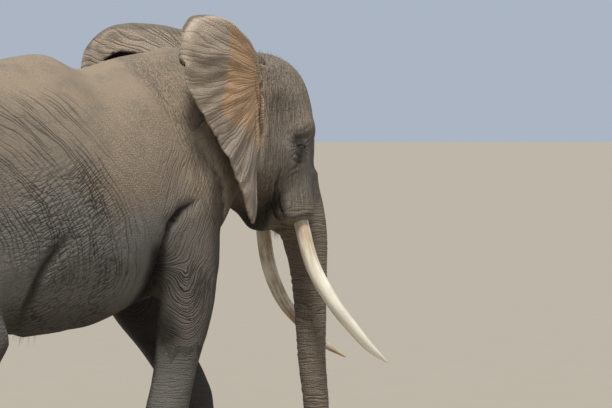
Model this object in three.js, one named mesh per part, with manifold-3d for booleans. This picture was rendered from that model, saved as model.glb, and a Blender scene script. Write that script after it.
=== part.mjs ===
// A life-size African bush elephant bull, walking, as a still museum model.
// Millimetres, +Z up, head towards +X, left side towards +Y. The origin is on the ground under the
// middle of the model's box. The flesh is one smooth distance field, turned into faceted solids and
// parted by thin plane cuts; ears, tusks, eyes, nails and tail are solids of their own.

import * as THREE from "three";
import { mergeVertices } from "three/addons/utils/BufferGeometryUtils.js";
import Module from "manifold-3d";

const wasm = await Module();
wasm.setup();

// ---------------------------------------------------------------- driving dimensions

const PART_GAP = 3; // between two nodes of flesh that were one
const ROOT_GAP = 6; // between the flesh and the root of an ear or the tail
const FIT_GAP = 0.8; // round a tusk, an eye or a nail set in flesh
const RIGHT = -1;
const LEFT = 1;

// Facet sizes of the flesh along X, Y and Z, by region.
const TORSO_CELL = [215, 168, 168];
const LEG_CELL = [130, 122, 140];
const HEAD_CELL = [108, 100, 112];

// Torso and neck, from the rump to the nape: top and belly lines, half width, and how much of the
// depth lies below the widest level. The withers stand 3.2 m over the ground.
const TORSO = [
  { x: -1800, top: 2300, bottom: 2180, half: 90, low: 0.5 },
  { x: -1720, top: 2560, bottom: 1980, half: 270, low: 0.5 },
  { x: -1560, top: 2790, bottom: 1760, half: 405, low: 0.48 },
  { x: -1300, top: 2980, bottom: 1560, half: 500, low: 0.45 },
  { x: -950, top: 3080, bottom: 1430, half: 568, low: 0.42 },
  { x: -550, top: 3105, bottom: 1350, half: 628, low: 0.41 },
  { x: -150, top: 3118, bottom: 1318, half: 664, low: 0.41 },
  { x: 60, top: 3150, bottom: 1318, half: 668, low: 0.41 },
  { x: 200, top: 3144, bottom: 1325, half: 665, low: 0.41 },
  { x: 400, top: 3064, bottom: 1340, half: 648, low: 0.42 },
  { x: 560, top: 3090, bottom: 1388, half: 625, low: 0.42 },
  { x: 760, top: 3150, bottom: 1472, half: 588, low: 0.43 },
  { x: 960, top: 3182, bottom: 1530, half: 545, low: 0.43 },
  { x: 1140, top: 3221, bottom: 1600, half: 502, low: 0.43 },
  { x: 1400, top: 3150, bottom: 1900, half: 430, low: 0.46 },
  { x: 1560, top: 3060, bottom: 2190, half: 380, low: 0.5 },
  { x: 1750, top: 2980, bottom: 2320, half: 320, low: 0.5 },
];
const TORSO_RIDGE = 1.75; // below 2, the back rises to a blunt ridge
const TORSO_ROUND = 2.1; // above 2, the belly is a little fuller than an ellipse

// How wide the blend is where one mass of flesh runs into another.
const BLEND = { muscle: 140, shoulder: 130, hip: 150, leg: 110, belly: 60, skull: 120, cheek: 110 };
Object.assign(BLEND, { temple: 90, tusk: 60, lip: 80, jaw: 90, chin: 60, trunk: 110, nape: 150 });

// Leg columns from the sole up: centre line and half sizes along X and Y. The right side is RIGHT.
const FORELEG_RIGHT = [
  { z: -40, x: 800, y: -375, rx: 235, ry: 215 },
  { z: 90, x: 800, y: -375, rx: 228, ry: 208 },
  { z: 240, x: 808, y: -378, rx: 182, ry: 170 },
  { z: 420, x: 830, y: -382, rx: 152, ry: 150 },
  { z: 700, x: 868, y: -388, rx: 146, ry: 150 },
  { z: 860, x: 895, y: -392, rx: 143, ry: 152 },
  { z: 1080, x: 945, y: -398, rx: 142, ry: 150 },
  { z: 1300, x: 995, y: -400, rx: 168, ry: 165 },
  { z: 1540, x: 1032, y: -402, rx: 188, ry: 175 },
  { z: 1800, x: 1038, y: -398, rx: 212, ry: 175 },
  { z: 1980, x: 1045, y: -380, rx: 190, ry: 140 },
  { z: 2150, x: 1050, y: -350, rx: 130, ry: 90 },
];
const FORELEG_LEFT = [
  { z: -40, x: 1620, y: 365, rx: 235, ry: 215 },
  { z: 90, x: 1620, y: 365, rx: 228, ry: 208 },
  { z: 240, x: 1600, y: 368, rx: 182, ry: 170 },
  { z: 450, x: 1585, y: 372, rx: 152, ry: 150 },
  { z: 700, x: 1580, y: 378, rx: 150, ry: 150 },
  { z: 860, x: 1545, y: 382, rx: 160, ry: 152 },
  { z: 1080, x: 1410, y: 388, rx: 182, ry: 155 },
  { z: 1330, x: 1215, y: 395, rx: 208, ry: 168 },
  { z: 1540, x: 1110, y: 400, rx: 225, ry: 178 },
  { z: 1800, x: 1120, y: 400, rx: 235, ry: 178 },
  { z: 1980, x: 1115, y: 380, rx: 205, ry: 142 },
  { z: 2150, x: 1112, y: 350, rx: 140, ry: 90 },
];
const HINDLEG_RIGHT = [
  { z: -40, x: -470, y: -350, rx: 215, ry: 185 },
  { z: 90, x: -470, y: -350, rx: 208, ry: 180 },
  { z: 230, x: -500, y: -352, rx: 165, ry: 152 },
  { z: 420, x: -575, y: -356, rx: 142, ry: 134 },
  { z: 620, x: -615, y: -360, rx: 146, ry: 136 },
  { z: 900, x: -630, y: -368, rx: 186, ry: 155 },
  { z: 1150, x: -645, y: -378, rx: 250, ry: 178 },
  { z: 1300, x: -675, y: -385, rx: 350, ry: 195 },
  { z: 1480, x: -780, y: -388, rx: 385, ry: 215 },
  { z: 1850, x: -980, y: -380, rx: 430, ry: 230 },
  { z: 2050, x: -1020, y: -350, rx: 385, ry: 185 },
  { z: 2250, x: -1040, y: -310, rx: 300, ry: 130 },
];
const HINDLEG_LEFT = [
  { z: -40, x: -1330, y: 350, rx: 215, ry: 185 },
  { z: 90, x: -1330, y: 350, rx: 208, ry: 180 },
  { z: 230, x: -1345, y: 352, rx: 165, ry: 152 },
  { z: 420, x: -1350, y: 356, rx: 142, ry: 134 },
  { z: 620, x: -1300, y: 360, rx: 146, ry: 136 },
  { z: 900, x: -1160, y: 368, rx: 186, ry: 155 },
  { z: 1150, x: -1020, y: 378, rx: 240, ry: 178 },
  { z: 1300, x: -990, y: 385, rx: 300, ry: 195 },
  { z: 1480, x: -1000, y: 388, rx: 360, ry: 215 },
  { z: 1850, x: -1060, y: 380, rx: 430, ry: 230 },
  { z: 2050, x: -1060, y: 350, rx: 385, ry: 185 },
  { z: 2250, x: -1060, y: 310, rx: 300, ry: 130 },
];
// Per leg: cut heights, and the stretch of X that its upper part may take from the trunk of the body.
const LEGS = [
  { name: "foreleg_right", side: RIGHT, column: FORELEG_RIGHT, nails: 4, top: 1420, knee: 860, ankle: 300 },
  { name: "foreleg_left", side: LEFT, column: FORELEG_LEFT, nails: 4, top: 1420, knee: 800, ankle: 300 },
  { name: "hindleg_right", side: RIGHT, column: HINDLEG_RIGHT, nails: 3, top: 1540, knee: 1000, ankle: 290 },
  { name: "hindleg_left", side: LEFT, column: HINDLEG_LEFT, nails: 3, top: 1540, knee: 1000, ankle: 290 },
];
const LEG_SPANS = {
  foreleg_right: [770, 1400],
  foreleg_left: [860, 1850],
  hindleg_right: [-1460, -150],
  hindleg_left: [-1800, -500],
};

// The head stands in its own frame, turned about a vertical line through the nape.
const HEAD_TURN = THREE.MathUtils.degToRad(-6); // towards the animal's right
const NAPE = { x: 1500, y: 0 };

// Trunk column in the head's frame, from the tip up.
const TRUNK = [
  { z: 95, x: 2255, y: 0, rx: 50, ry: 58 },
  { z: 200, x: 2275, y: 0, rx: 64, ry: 70 },
  { z: 450, x: 2320, y: 0, rx: 79, ry: 83 },
  { z: 750, x: 2312, y: 0, rx: 90, ry: 92 },
  { z: 1050, x: 2280, y: 0, rx: 98, ry: 100 },
  { z: 1400, x: 2267, y: 0, rx: 112, ry: 114 },
  { z: 1700, x: 2250, y: 0, rx: 133, ry: 133 },
  { z: 1950, x: 2208, y: 0, rx: 170, ry: 163 },
  { z: 2150, x: 2130, y: 0, rx: 212, ry: 195 },
  { z: 2350, x: 2045, y: 0, rx: 235, ry: 220 },
];
const TRUNK_CUTS = [1950, 1330, 700]; // between face, upper, middle and lower trunk

// Tusk centre line from the lip, as forward, down and outward travel, with its radius.
const TUSK_LIP = { x: 2040, y: 283, z: 2015 };
const TUSK = [
  { forward: -60, down: -260, out: -40, r: 46 },
  { forward: -12, down: -60, out: -8, r: 50 },
  { forward: 65, down: 280, out: 40, r: 51 },
  { forward: 200, down: 540, out: 90, r: 48 },
  { forward: 375, down: 740, out: 85, r: 41 },
  { forward: 520, down: 870, out: 55, r: 31 },
  { forward: 680, down: 975, out: 10, r: 6 },
];

const EYE = { x: 1985, z: 2545, r: 24, sunk: 6 }; // sunk: its middle under the skin

// Ear outline as height over the reach from its root: the crest above and the hem below.
const EAR_CREST_RIGHT = [
  { w: 0, z: 3140 },
  { w: 155, z: 3200 },
  { w: 260, z: 3262 },
  { w: 435, z: 3330 },
  { w: 550, z: 3374 },
  { w: 685, z: 3402 },
  { w: 820, z: 3406 },
  { w: 920, z: 3388 },
  { w: 985, z: 3330 },
  { w: 1015, z: 3270 },
  { w: 1035, z: 3150 },
];
const EAR_CREST_LEFT = [
  { w: 0, z: 3200 },
  { w: 200, z: 3330 },
  { w: 310, z: 3360 },
  { w: 415, z: 3384 },
  { w: 620, z: 3404 },
  { w: 720, z: 3400 },
  { w: 820, z: 3378 },
  { w: 900, z: 3335 },
  { w: 960, z: 3280 },
  { w: 1015, z: 3195 },
  { w: 1035, z: 3090 },
];
const EAR_HEM = [
  { w: 0, z: 2440 },
  { w: 90, z: 2330 },
  { w: 170, z: 2120 },
  { w: 240, z: 2040 },
  { w: 300, z: 2085 },
  { w: 400, z: 2235 },
  { w: 520, z: 2390 },
  { w: 660, z: 2550 },
  { w: 780, z: 2675 },
  { w: 880, z: 2775 },
  { w: 970, z: 2880 },
  { w: 1020, z: 2960 },
  { w: 1035, z: 3060 },
];
const EAR_REACH = 1035;
const EAR_CURL = 52; // radius of the rim's backward fold
const EAR_FLAP = 150; // how far the folded rim hangs at its longest
const EAR_THICK = { root: 34, rim: 13 };
const EAR_ROOT = { x: 1700, y: 330 };
const EARS = [
  { name: "ear_right", side: RIGHT, from: 50, to: 8, reach: 0.9, crest: EAR_CREST_RIGHT },
  { name: "ear_left", side: LEFT, from: 60, to: 20, reach: 0.96, crest: EAR_CREST_LEFT },
];

// Tail, root to tip of the tuft, hanging close behind the rump.
const TAIL = [
  { x: -1640, z: 2600, r: 95 },
  { x: -1800, z: 2480, r: 70 },
  { x: -1872, z: 2250, r: 48 },
  { x: -1888, z: 1900, r: 34 },
  { x: -1880, z: 1500, r: 25 },
  { x: -1868, z: 1250, r: 20 },
];
const TAIL_TUFT = { top: 1275, bottom: 880, x: -1862, rx: 62, ry: 24 };

// ---------------------------------------------------------------- small maths

const FAR = 6000; // further than any part of the model reaches

const { abs, cos, hypot, max, min, pow, sin, PI } = Math;

const smoothMin = (a, b, k) => min(a, b) - (max(k - abs(a - b), 0) ** 2) / (4 * k);
const smoothMax = (a, b, k) => -smoothMin(-a, -b, k);
const mix = (a, b, t) => a + (b - a) * t;

// A smooth curve through stations: cubic Hermite with the slopes of the chords either side.
function profile(stations, at, key) {
  const t = stations.map((s) => s[at]);
  const v = stations.map((s) => s[key]);
  const last = t.length - 1;
  const slope = t.map((_, i) => {
    const a = max(i - 1, 0);
    const b = min(i + 1, last);
    return (v[b] - v[a]) / (t[b] - t[a]);
  });
  return (q) => {
    if (q <= t[0]) return v[0];
    if (q >= t[last]) return v[last];
    let i = 0;
    while (q > t[i + 1]) i++;
    const span = t[i + 1] - t[i];
    const s = (q - t[i]) / span;
    const s2 = s * s;
    const s3 = s2 * s;
    return (
      (2 * s3 - 3 * s2 + 1) * v[i] +
      (s3 - 2 * s2 + s) * span * slope[i] +
      (3 * s2 - 2 * s3) * v[i + 1] +
      (s3 - s2) * span * slope[i + 1]
    );
  };
}

const profiles = (stations, at, keys) =>
  Object.fromEntries(keys.map((key) => [key, profile(stations, at, key)]));

// ---------------------------------------------------------------- distance fields, negative inside

function ellipse(u, v, ru, rv) {
  const k0 = hypot(u / ru, v / rv);
  const k1 = hypot(u / (ru * ru), v / (rv * rv));
  return k1 < 1e-9 ? -min(ru, rv) : (k0 * (k0 - 1)) / k1;
}

// An ellipsoid, pitched nose down by tilt degrees about Y.
function ellipsoid(p, { x, y = 0, z, rx, ry, rz, tilt = 0 }) {
  const a = THREE.MathUtils.degToRad(tilt);
  const dx = p.x - x;
  const dz = p.z - z;
  const u = (dx * cos(a) - dz * sin(a)) / rx;
  const v = (p.y - y) / ry;
  const w = (dx * sin(a) + dz * cos(a)) / rz;
  const k0 = hypot(u, v, w);
  const k1 = hypot(u / rx, v / ry, w / rz);
  return k1 < 1e-9 ? -min(rx, ry, rz) : (k0 * (k0 - 1)) / k1;
}

// A round-ended cone between two balls.
function bone(p, a, b) {
  const ab = { x: b.x - a.x, y: b.y - a.y, z: b.z - a.z };
  const ap = { x: p.x - a.x, y: p.y - a.y, z: p.z - a.z };
  const t = (ap.x * ab.x + ap.y * ab.y + ap.z * ab.z) / (ab.x ** 2 + ab.y ** 2 + ab.z ** 2);
  const s = min(max(t, 0), 1);
  return hypot(ap.x - s * ab.x, ap.y - s * ab.y, ap.z - s * ab.z) - mix(a.r, b.r, s);
}

// A column of ellipses along Z, rounded over past its top station.
function column(stations) {
  const at = profiles(stations, "z", ["x", "y", "rx", "ry"]);
  const top = stations[stations.length - 1].z;
  const bottom = stations[0].z;
  return (p) => {
    const z = min(max(p.z, bottom), top);
    const across = ellipse(p.x - at.x(z), p.y - at.y(z), at.rx(z), at.ry(z));
    const past = abs(p.z - z);
    return past > 0 ? hypot(max(across, 0), past) + min(across + past, 0) : across;
  };
}

const torsoAt = profiles(TORSO, "x", ["top", "bottom", "half", "low"]);

// The torso: at each X an egg of two half ellipses, the upper one drawn to a blunt ridge.
function torso(p) {
  const first = TORSO[0].x;
  const last = TORSO[TORSO.length - 1].x;
  const x = min(max(p.x, first), last);
  const top = torsoAt.top(x);
  const bottom = torsoAt.bottom(x);
  const middle = mix(bottom, top, torsoAt.low(x));
  const up = p.z > middle;
  const u = abs(p.y) / torsoAt.half(x);
  const w = abs(p.z - middle) / (up ? top - middle : middle - bottom);
  const power = up ? mix(2, TORSO_RIDGE, min(w, 1)) : TORSO_ROUND;
  const k = pow(pow(u, power) + pow(w, power), 1 / power);
  const size = k < 1e-6 ? 1 : hypot(p.y, p.z - middle) / k;
  const across = (k - 1) * min(size, 900);
  const past = abs(p.x - x);
  return past > 0 ? hypot(max(across, 0), past) : across;
}

// Muscle and bone that stand out of the torso, given for the right side and mirrored.
const SHOULDER_MUSCLES = [
  { x: 1080, y: 290, z: 2440, rx: 235, ry: 215, rz: 540, tilt: 6 },
  { x: 1045, y: 345, z: 1960, rx: 225, ry: 195, rz: 380, tilt: 0 },
];
const HIP_MUSCLES = [
  { x: -1080, y: 300, z: 2250, rx: 450, ry: 250, rz: 540, tilt: 0 },
  { x: -1310, y: 265, z: 2000, rx: 320, ry: 215, rz: 460, tilt: -6 },
];

// The fold of skin along the middle of the belly.
const BELLY_FOLD = [
  { x: 260, y: 0, z: 1400, r: 70 },
  { x: 20, y: 0, z: 1362, r: 60 },
];

const legFields = LEGS.map((leg) => column(leg.column));

function muscles(p, list, side) {
  return list.reduce(
    (d, m) => smoothMin(d, ellipsoid(p, { ...m, y: side * m.y }), BLEND.muscle),
    FAR,
  );
}

function bodyField(p) {
  let d = torso(p);
  for (const side of [RIGHT, LEFT]) {
    d = smoothMin(d, muscles(p, SHOULDER_MUSCLES, side), BLEND.shoulder);
    d = smoothMin(d, muscles(p, HIP_MUSCLES, side), BLEND.hip);
  }
  for (const leg of legFields) d = smoothMin(d, leg(p), BLEND.leg);
  return smoothMin(d, bone(p, BELLY_FOLD[0], BELLY_FOLD[1]), BLEND.belly);
}

// Head, in its own frame. Paired shapes are given for one side.
const SKULL = [
  { x: 1790, z: 2740, rx: 375, ry: 365, rz: 455, tilt: 0 },
  { x: 1940, z: 2800, rx: 262, ry: 285, rz: 340, tilt: 8 },
  { x: 2020, z: 2470, rx: 234, ry: 262, rz: 420, tilt: 5 },
  { x: 1770, z: 2400, rx: 262, ry: 292, rz: 285, tilt: 0 },
];
const SKULL_PAIRS = [
  { x: 1790, y: 255, z: 2480, rx: 280, ry: 170, rz: 260, tilt: 0 }, // cheekbone
  { x: 2015, y: 240, z: 2680, rx: 130, ry: 90, rz: 95, tilt: 20 }, // brow
  { x: 1690, y: 275, z: 2780, rx: 190, ry: 150, rz: 300, tilt: 0 }, // behind the ear's root
];
const SHEATH = [
  { x: 1980, y: 200, z: 2460, r: 140 },
  { x: 2035, y: 272, z: 2110, r: 100 },
];
// The slack skin behind the sheath, down to the corner of the mouth.
const POUCH = [
  { x: 1905, y: 225, z: 2380, r: 110 },
  { x: 1925, y: 268, z: 2112, r: 88 },
];
const JAW = [
  { x: 1680, y: 0, z: 2400, r: 190 },
  { x: 1880, y: 0, z: 2095, r: 125 },
  { x: 2010, y: 0, z: 2020, r: 55 },
];
const TEMPLE = { x: 1870, y: 450, z: 2745, rx: 150, ry: 95, rz: 150 };
const trunkField = column(TRUNK);

function headField(p) {
  const q = { x: p.x, y: abs(p.y), z: p.z };
  let d = SKULL.reduce((e, s) => smoothMin(e, ellipsoid(p, s), BLEND.skull), FAR);
  for (const s of SKULL_PAIRS) d = smoothMin(d, ellipsoid(q, s), BLEND.cheek);
  d = smoothMax(d, -ellipsoid(q, TEMPLE), BLEND.temple);
  const slack = smoothMin(bone(q, SHEATH[0], SHEATH[1]), bone(q, POUCH[0], POUCH[1]), BLEND.lip);
  d = smoothMin(d, slack, BLEND.tusk);
  d = smoothMin(d, bone(p, JAW[0], JAW[1]), BLEND.jaw);
  d = smoothMin(d, bone(p, JAW[1], JAW[2]), BLEND.chin);
  return smoothMin(d, trunkField(p), BLEND.trunk);
}

// A world point in the head's frame, and back.
function turned(p, angle) {
  const dx = p.x - NAPE.x;
  const dy = p.y - NAPE.y;
  return {
    x: NAPE.x + dx * cos(angle) - dy * sin(angle),
    y: NAPE.y + dx * sin(angle) + dy * cos(angle),
    z: p.z,
  };
}
const intoHead = (p) => turned(p, -HEAD_TURN);
const fromHead = (p) => turned(p, HEAD_TURN);

const flesh = (p) => smoothMin(bodyField(p), headField(intoHead(p)), BLEND.nape);

// ---------------------------------------------------------------- from a field to a solid

function gradient(field, p) {
  const h = 2;
  return [
    field({ ...p, x: p.x + h }) - field({ ...p, x: p.x - h }),
    field({ ...p, y: p.y + h }) - field({ ...p, y: p.y - h }),
    field({ ...p, z: p.z + h }) - field({ ...p, z: p.z - h }),
  ].map((g) => g / (2 * h));
}

// Walks a point onto the surface along the field's gradient.
function settle(field, p, longest) {
  for (let step = 0; step < 3; step++) {
    const d = field(p);
    const g = gradient(field, p);
    const g2 = max(g[0] ** 2 + g[1] ** 2 + g[2] ** 2, 0.25);
    const k = min(max(d, -longest), longest) / g2;
    p = { x: p.x - k * g[0], y: p.y - k * g[1], z: p.z - k * g[2] };
  }
  return p;
}

// A surface net: one vertex in each cell that the surface crosses, one quad round each crossed edge.
// What reaches the grid's border is closed off there, outside every stretch that is kept.
function surfaceNet(field, low, high, cell) {
  const n = [0, 1, 2].map((i) => Math.ceil((high[i] - low[i]) / cell[i]) + 1);
  const index = (i, j, k) => i + n[0] * (j + n[1] * k);
  const place = (i, j, k) => ({
    x: low[0] + i * cell[0],
    y: low[1] + j * cell[1],
    z: low[2] + k * cell[2],
  });
  const border = (i, j, k) =>
    min(i, j, k) === 0 || i === n[0] - 1 || j === n[1] - 1 || k === n[2] - 1;
  const value = new Float64Array(n[0] * n[1] * n[2]);
  for (let k = 0; k < n[2]; k++)
    for (let j = 0; j < n[1]; j++)
      for (let i = 0; i < n[0]; i++)
        value[index(i, j, k)] = border(i, j, k) ? min(...cell) / 2 : field(place(i, j, k));
  const corners = [0, 1, 2, 3, 4, 5, 6, 7].map((c) => [c & 1, (c >> 1) & 1, c >> 2]);
  const vertexOf = new Int32Array(value.length).fill(-1);
  const points = [];
  for (let k = 0; k < n[2] - 1; k++)
    for (let j = 0; j < n[1] - 1; j++)
      for (let i = 0; i < n[0] - 1; i++) {
        const v = corners.map(([a, b, c]) => value[index(i + a, j + b, k + c)]);
        const inside = v.filter((d) => d < 0).length;
        if (inside === 0 || inside === 8) continue;
        const sum = [0, 0, 0];
        let count = 0;
        for (let a = 0; a < 8; a++)
          for (const bit of [1, 2, 4]) {
            const b = a | bit;
            if (a === b || v[a] < 0 === v[b] < 0) continue;
            const t = v[a] / (v[a] - v[b]);
            for (let axis = 0; axis < 3; axis++)
              sum[axis] += mix(corners[a][axis], corners[b][axis], t);
            count++;
          }
        const p = place(i + sum[0] / count, j + sum[1] / count, k + sum[2] / count);
        vertexOf[index(i, j, k)] = points.length;
        const atRim = border(i, j, k) || border(i + 1, j + 1, k + 1);
        points.push(atRim ? p : settle(field, p, min(...cell) / 2));
      }
  const faces = [];
  const quad = (a, b, c, d, flip) => {
    const ring = flip ? [a, d, c, b] : [a, b, c, d];
    faces.push([ring[0], ring[1], ring[2]], [ring[0], ring[2], ring[3]]);
  };
  const steps = [[1, 0, 0], [0, 1, 0], [0, 0, 1]];
  for (let k = 0; k < n[2] - 1; k++)
    for (let j = 0; j < n[1] - 1; j++)
      for (let i = 0; i < n[0] - 1; i++)
        steps.forEach((s, axis) => {
          const here = value[index(i, j, k)] < 0;
          const there = value[index(i + s[0], j + s[1], k + s[2])] < 0;
          if (here === there) return;
          const u = steps[(axis + 1) % 3];
          const w = steps[(axis + 2) % 3];
          const at = (a, b) =>
            vertexOf[index(i - a * u[0] - b * w[0], j - a * u[1] - b * w[1], k - a * u[2] - b * w[2])];
          quad(at(1, 1), at(0, 1), at(0, 0), at(1, 0), !here);
        });
  return solidFrom(points, faces);
}

function solidFrom(points, faces) {
  const vertProperties = new Float32Array(points.flatMap((p) => [p.x, p.y, p.z]));
  const triVerts = new Uint32Array(faces.flat());
  return new wasm.Manifold(new wasm.Mesh({ numProp: 3, vertProperties, triVerts }));
}

// A three.js geometry as a solid, after its seams are merged.
function solidOf(geometry) {
  geometry.deleteAttribute("normal");
  geometry.deleteAttribute("uv");
  const merged = mergeVertices(geometry, 1e-3);
  return new wasm.Manifold(
    new wasm.Mesh({
      numProp: 3,
      vertProperties: merged.attributes.position.array,
      triVerts: new Uint32Array(merged.index.array),
    }),
  );
}

function geometryOf(solid) {
  const mesh = solid.getMesh();
  const position = new Float32Array(mesh.numVert * 3);
  for (let i = 0; i < mesh.numVert; i++)
    position.set(mesh.vertProperties.subarray(i * mesh.numProp, i * mesh.numProp + 3), i * 3);
  const geometry = new THREE.BufferGeometry();
  geometry.setAttribute("position", new THREE.BufferAttribute(position, 3));
  geometry.setIndex(new THREE.BufferAttribute(mesh.triVerts, 1));
  geometry.computeVertexNormals();
  return geometry;
}

// A box between two corners.
function block(low, high) {
  const geometry = new THREE.BoxGeometry(...[0, 1, 2].map((i) => high[i] - low[i]));
  geometry.translate(...[0, 1, 2].map((i) => (low[i] + high[i]) / 2));
  return solidOf(geometry);
}

// All that lies ahead of a plane through one X and Z, leaned back by some degrees.
function ahead(x, z = 0, lean = 0) {
  const geometry = new THREE.BoxGeometry(2 * FAR, 2 * FAR, 2 * FAR);
  geometry.translate(FAR, 0, 0);
  geometry.rotateY(THREE.MathUtils.degToRad(-lean));
  geometry.translate(x, 0, z);
  return solidOf(geometry);
}

// A closed tube of rings; each ring is a list of points, and both ends are closed by a fan.
function ringSolid(rings) {
  const sides = rings[0].length;
  const points = rings.flat();
  const faces = [];
  for (let r = 0; r < rings.length - 1; r++)
    for (let s = 0; s < sides; s++) {
      const a = r * sides + s;
      const b = r * sides + ((s + 1) % sides);
      faces.push([a, b, b + sides], [a, b + sides, a + sides]);
    }
  const cap = (ring, start, flip) => {
    const middle = points.length;
    points.push({
      x: ring.reduce((t, p) => t + p.x, 0) / sides,
      y: ring.reduce((t, p) => t + p.y, 0) / sides,
      z: ring.reduce((t, p) => t + p.z, 0) / sides,
    });
    for (let s = 0; s < sides; s++) {
      const a = start + s;
      const b = start + ((s + 1) % sides);
      faces.push(flip ? [middle, a, b] : [middle, b, a]);
    }
  };
  cap(rings[0], 0, false);
  cap(rings[rings.length - 1], (rings.length - 1) * sides, true);
  const solid = solidFrom(points, faces);
  return solid.volume() < 0 ? solidFrom(points, faces.map(([a, b, c]) => [a, c, b])) : solid;
}

// A stretch of a column of ellipses, as a closed tube of rings at the given levels.
function columnTube(stations, levels, sides, place = (p) => p) {
  const at = profiles(stations, "z", ["x", "y", "rx", "ry"]);
  return ringSolid(
    levels.map((z) =>
      Array.from({ length: sides }, (_, s) => {
        const a = (2 * PI * (s + 0.5)) / sides;
        return place({ x: at.x(z) + at.rx(z) * cos(a), y: at.y(z) + at.ry(z) * sin(a), z });
      }),
    ),
  );
}

const levelsBetween = (low, high, steps) =>
  Array.from({ length: steps + 1 }, (_, i) => mix(low, high, i / steps));

// A tapered tube along a smooth curve through points that carry a radius r; extra makes its socket.
function taperedTube(points, sides, steps, extra = 0) {
  const curve = new THREE.CatmullRomCurve3(points.map((p) => new THREE.Vector3(p.x, p.y, p.z)));
  const radius = profile(points.map((p, i) => ({ t: i / (points.length - 1), r: p.r })), "t", "r");
  const frames = curve.computeFrenetFrames(steps, false);
  const rings = [];
  for (let i = 0; i <= steps; i++) {
    const centre = curve.getPointAt(i / steps);
    if (i === 0) centre.addScaledVector(frames.tangents[0], -extra);
    const r = radius(curve.getUtoTmapping(i / steps)) + extra;
    rings.push(
      Array.from({ length: sides }, (_, s) => {
        const a = (2 * PI * s) / sides;
        return centre
          .clone()
          .addScaledVector(frames.normals[i], r * cos(a))
          .addScaledVector(frames.binormals[i], r * sin(a));
      }),
    );
  }
  return ringSolid(rings);
}

// ---------------------------------------------------------------- flesh, cut into nodes

const materials = {
  skin: new THREE.MeshStandardMaterial({ color: 0x77695c, roughness: 0.9, metalness: 0 }),
  ivory: new THREE.MeshStandardMaterial({ color: 0xd8c7a0, roughness: 0.45, metalness: 0 }),
  eye: new THREE.MeshStandardMaterial({ color: 0x2c1c10, roughness: 0.15, metalness: 0 }),
  nail: new THREE.MeshStandardMaterial({ color: 0x9a8b76, roughness: 0.7, metalness: 0 }),
  hair: new THREE.MeshStandardMaterial({ color: 0x1f1b18, roughness: 0.7, metalness: 0 }),
};

const nodes = [];
const addNode = (name, solid, material) => nodes.push({ name, solid, material });

const aroundFlesh = (p) => flesh(p) - ROOT_GAP;
const BODY_GRID = [[-2000, -1010, 1100], [1950, 1010, 3420], TORSO_CELL];
const HEAD_GRID = [[1330, -750, 1780], [2550, 750, 3420], HEAD_CELL];
const HEAD_CUT = 1560; // X of the cut between neck and head, square to the head's own frame

function headSpace(low, high) {
  const box = block(low, high);
  const degrees = THREE.MathUtils.radToDeg(HEAD_TURN);
  return box.translate([-NAPE.x, -NAPE.y, 0]).rotate([0, 0, degrees]).translate([NAPE.x, NAPE.y, 0]);
}

// Each leg's own stretch of space, kept clear of the middle of the belly.
const LEG_INNER = 110;
function legSpace(leg, low, high, grow = 0) {
  const [aft, fore] = LEG_SPANS[leg.name];
  const near = leg.side * (LEG_INNER - grow);
  const far = leg.side * 1200;
  return block([aft - grow, min(near, far), low], [fore + grow, max(near, far), high + grow]);
}

// The planes between rump, belly, chest and neck; the last one leans with the shoulder.
const TORSO_PLANES = [{ x: -720 }, { x: 560 }, { x: 1290, z: 2400, lean: 14 }];
function cutTorso() {
  let rest = surfaceNet(flesh, ...BODY_GRID);
  rest = rest.subtract(headSpace([HEAD_CUT, -FAR, -FAR], [FAR, FAR, FAR]));
  for (const leg of LEGS) rest = rest.subtract(legSpace(leg, -FAR, leg.top, PART_GAP));
  ["rump", "belly", "chest"].forEach((name, i) => {
    const { x, z, lean } = TORSO_PLANES[i];
    addNode(name, rest.subtract(ahead(x - PART_GAP / 2, z, lean)), "skin");
    rest = rest.intersect(ahead(x + PART_GAP / 2, z, lean));
  });
  addNode("neck", rest, "skin");
}

const LEG_SIDES = 14;
function cutLegs() {
  LEGS.forEach((leg) => {
    const xs = leg.column.map((s) => s.x);
    const ys = [0, leg.side * 760];
    const whole = surfaceNet(
      flesh,
      [min(...xs) - 620, min(...ys) - 100, leg.knee - 260],
      [max(...xs) + 620, max(...ys) + 100, leg.top + 300],
      LEG_CELL,
    );
    const nails = nailsOf(leg);
    const foot = columnTube(leg.column, [0, 60, 130, 200, leg.ankle], LEG_SIDES);
    const parts = {
      upper: whole.intersect(legSpace(leg, leg.knee + PART_GAP, leg.top)),
      lower: columnTube(leg.column, levelsBetween(leg.ankle + PART_GAP, leg.knee, 5), LEG_SIDES),
      foot: nails.reduce((solid, nail) => solid.subtract(nail.socket), foot),
    };
    for (const [part, solid] of Object.entries(parts)) addNode(leg.name + "_" + part, solid, "skin");
    nails.forEach((nail, i) => addNode(leg.name + "_nail_" + (i + 1), nail.solid, "nail"));
  });
}

// Toenails: broad shields round the front of the foot, leaning back and sunk into the flesh. The
// row of a forefoot, with one nail more, spreads over more degrees than that of a hind foot.
const NAIL = { wide: 62, deep: 30, tall: 74, z: 78, sunk: 12, lean: 0.22 };
const NAIL_SPREAD = { 4: 118, 3: 96 };
function nailsOf(leg) {
  const sole = leg.column[1];
  const spread = NAIL_SPREAD[leg.nails];
  return Array.from({ length: leg.nails }, (_, i) => {
    const a = THREE.MathUtils.degToRad(mix(-spread / 2, spread / 2, i / (leg.nails - 1)));
    const make = (extra) => {
      const geometry = new THREE.SphereGeometry(1, 7, 4);
      geometry.scale(NAIL.deep + extra, NAIL.wide + extra, NAIL.tall + extra);
      geometry.rotateY(-NAIL.lean);
      geometry.rotateZ(a);
      geometry.translate(
        sole.x + (sole.rx - NAIL.sunk) * cos(a),
        sole.y + (sole.ry - NAIL.sunk) * sin(a),
        NAIL.z,
      );
      return solidOf(geometry);
    };
    return { solid: make(0), socket: make(FIT_GAP) };
  });
}

// ---------------------------------------------------------------- head, trunk, tusks and eyes

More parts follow.
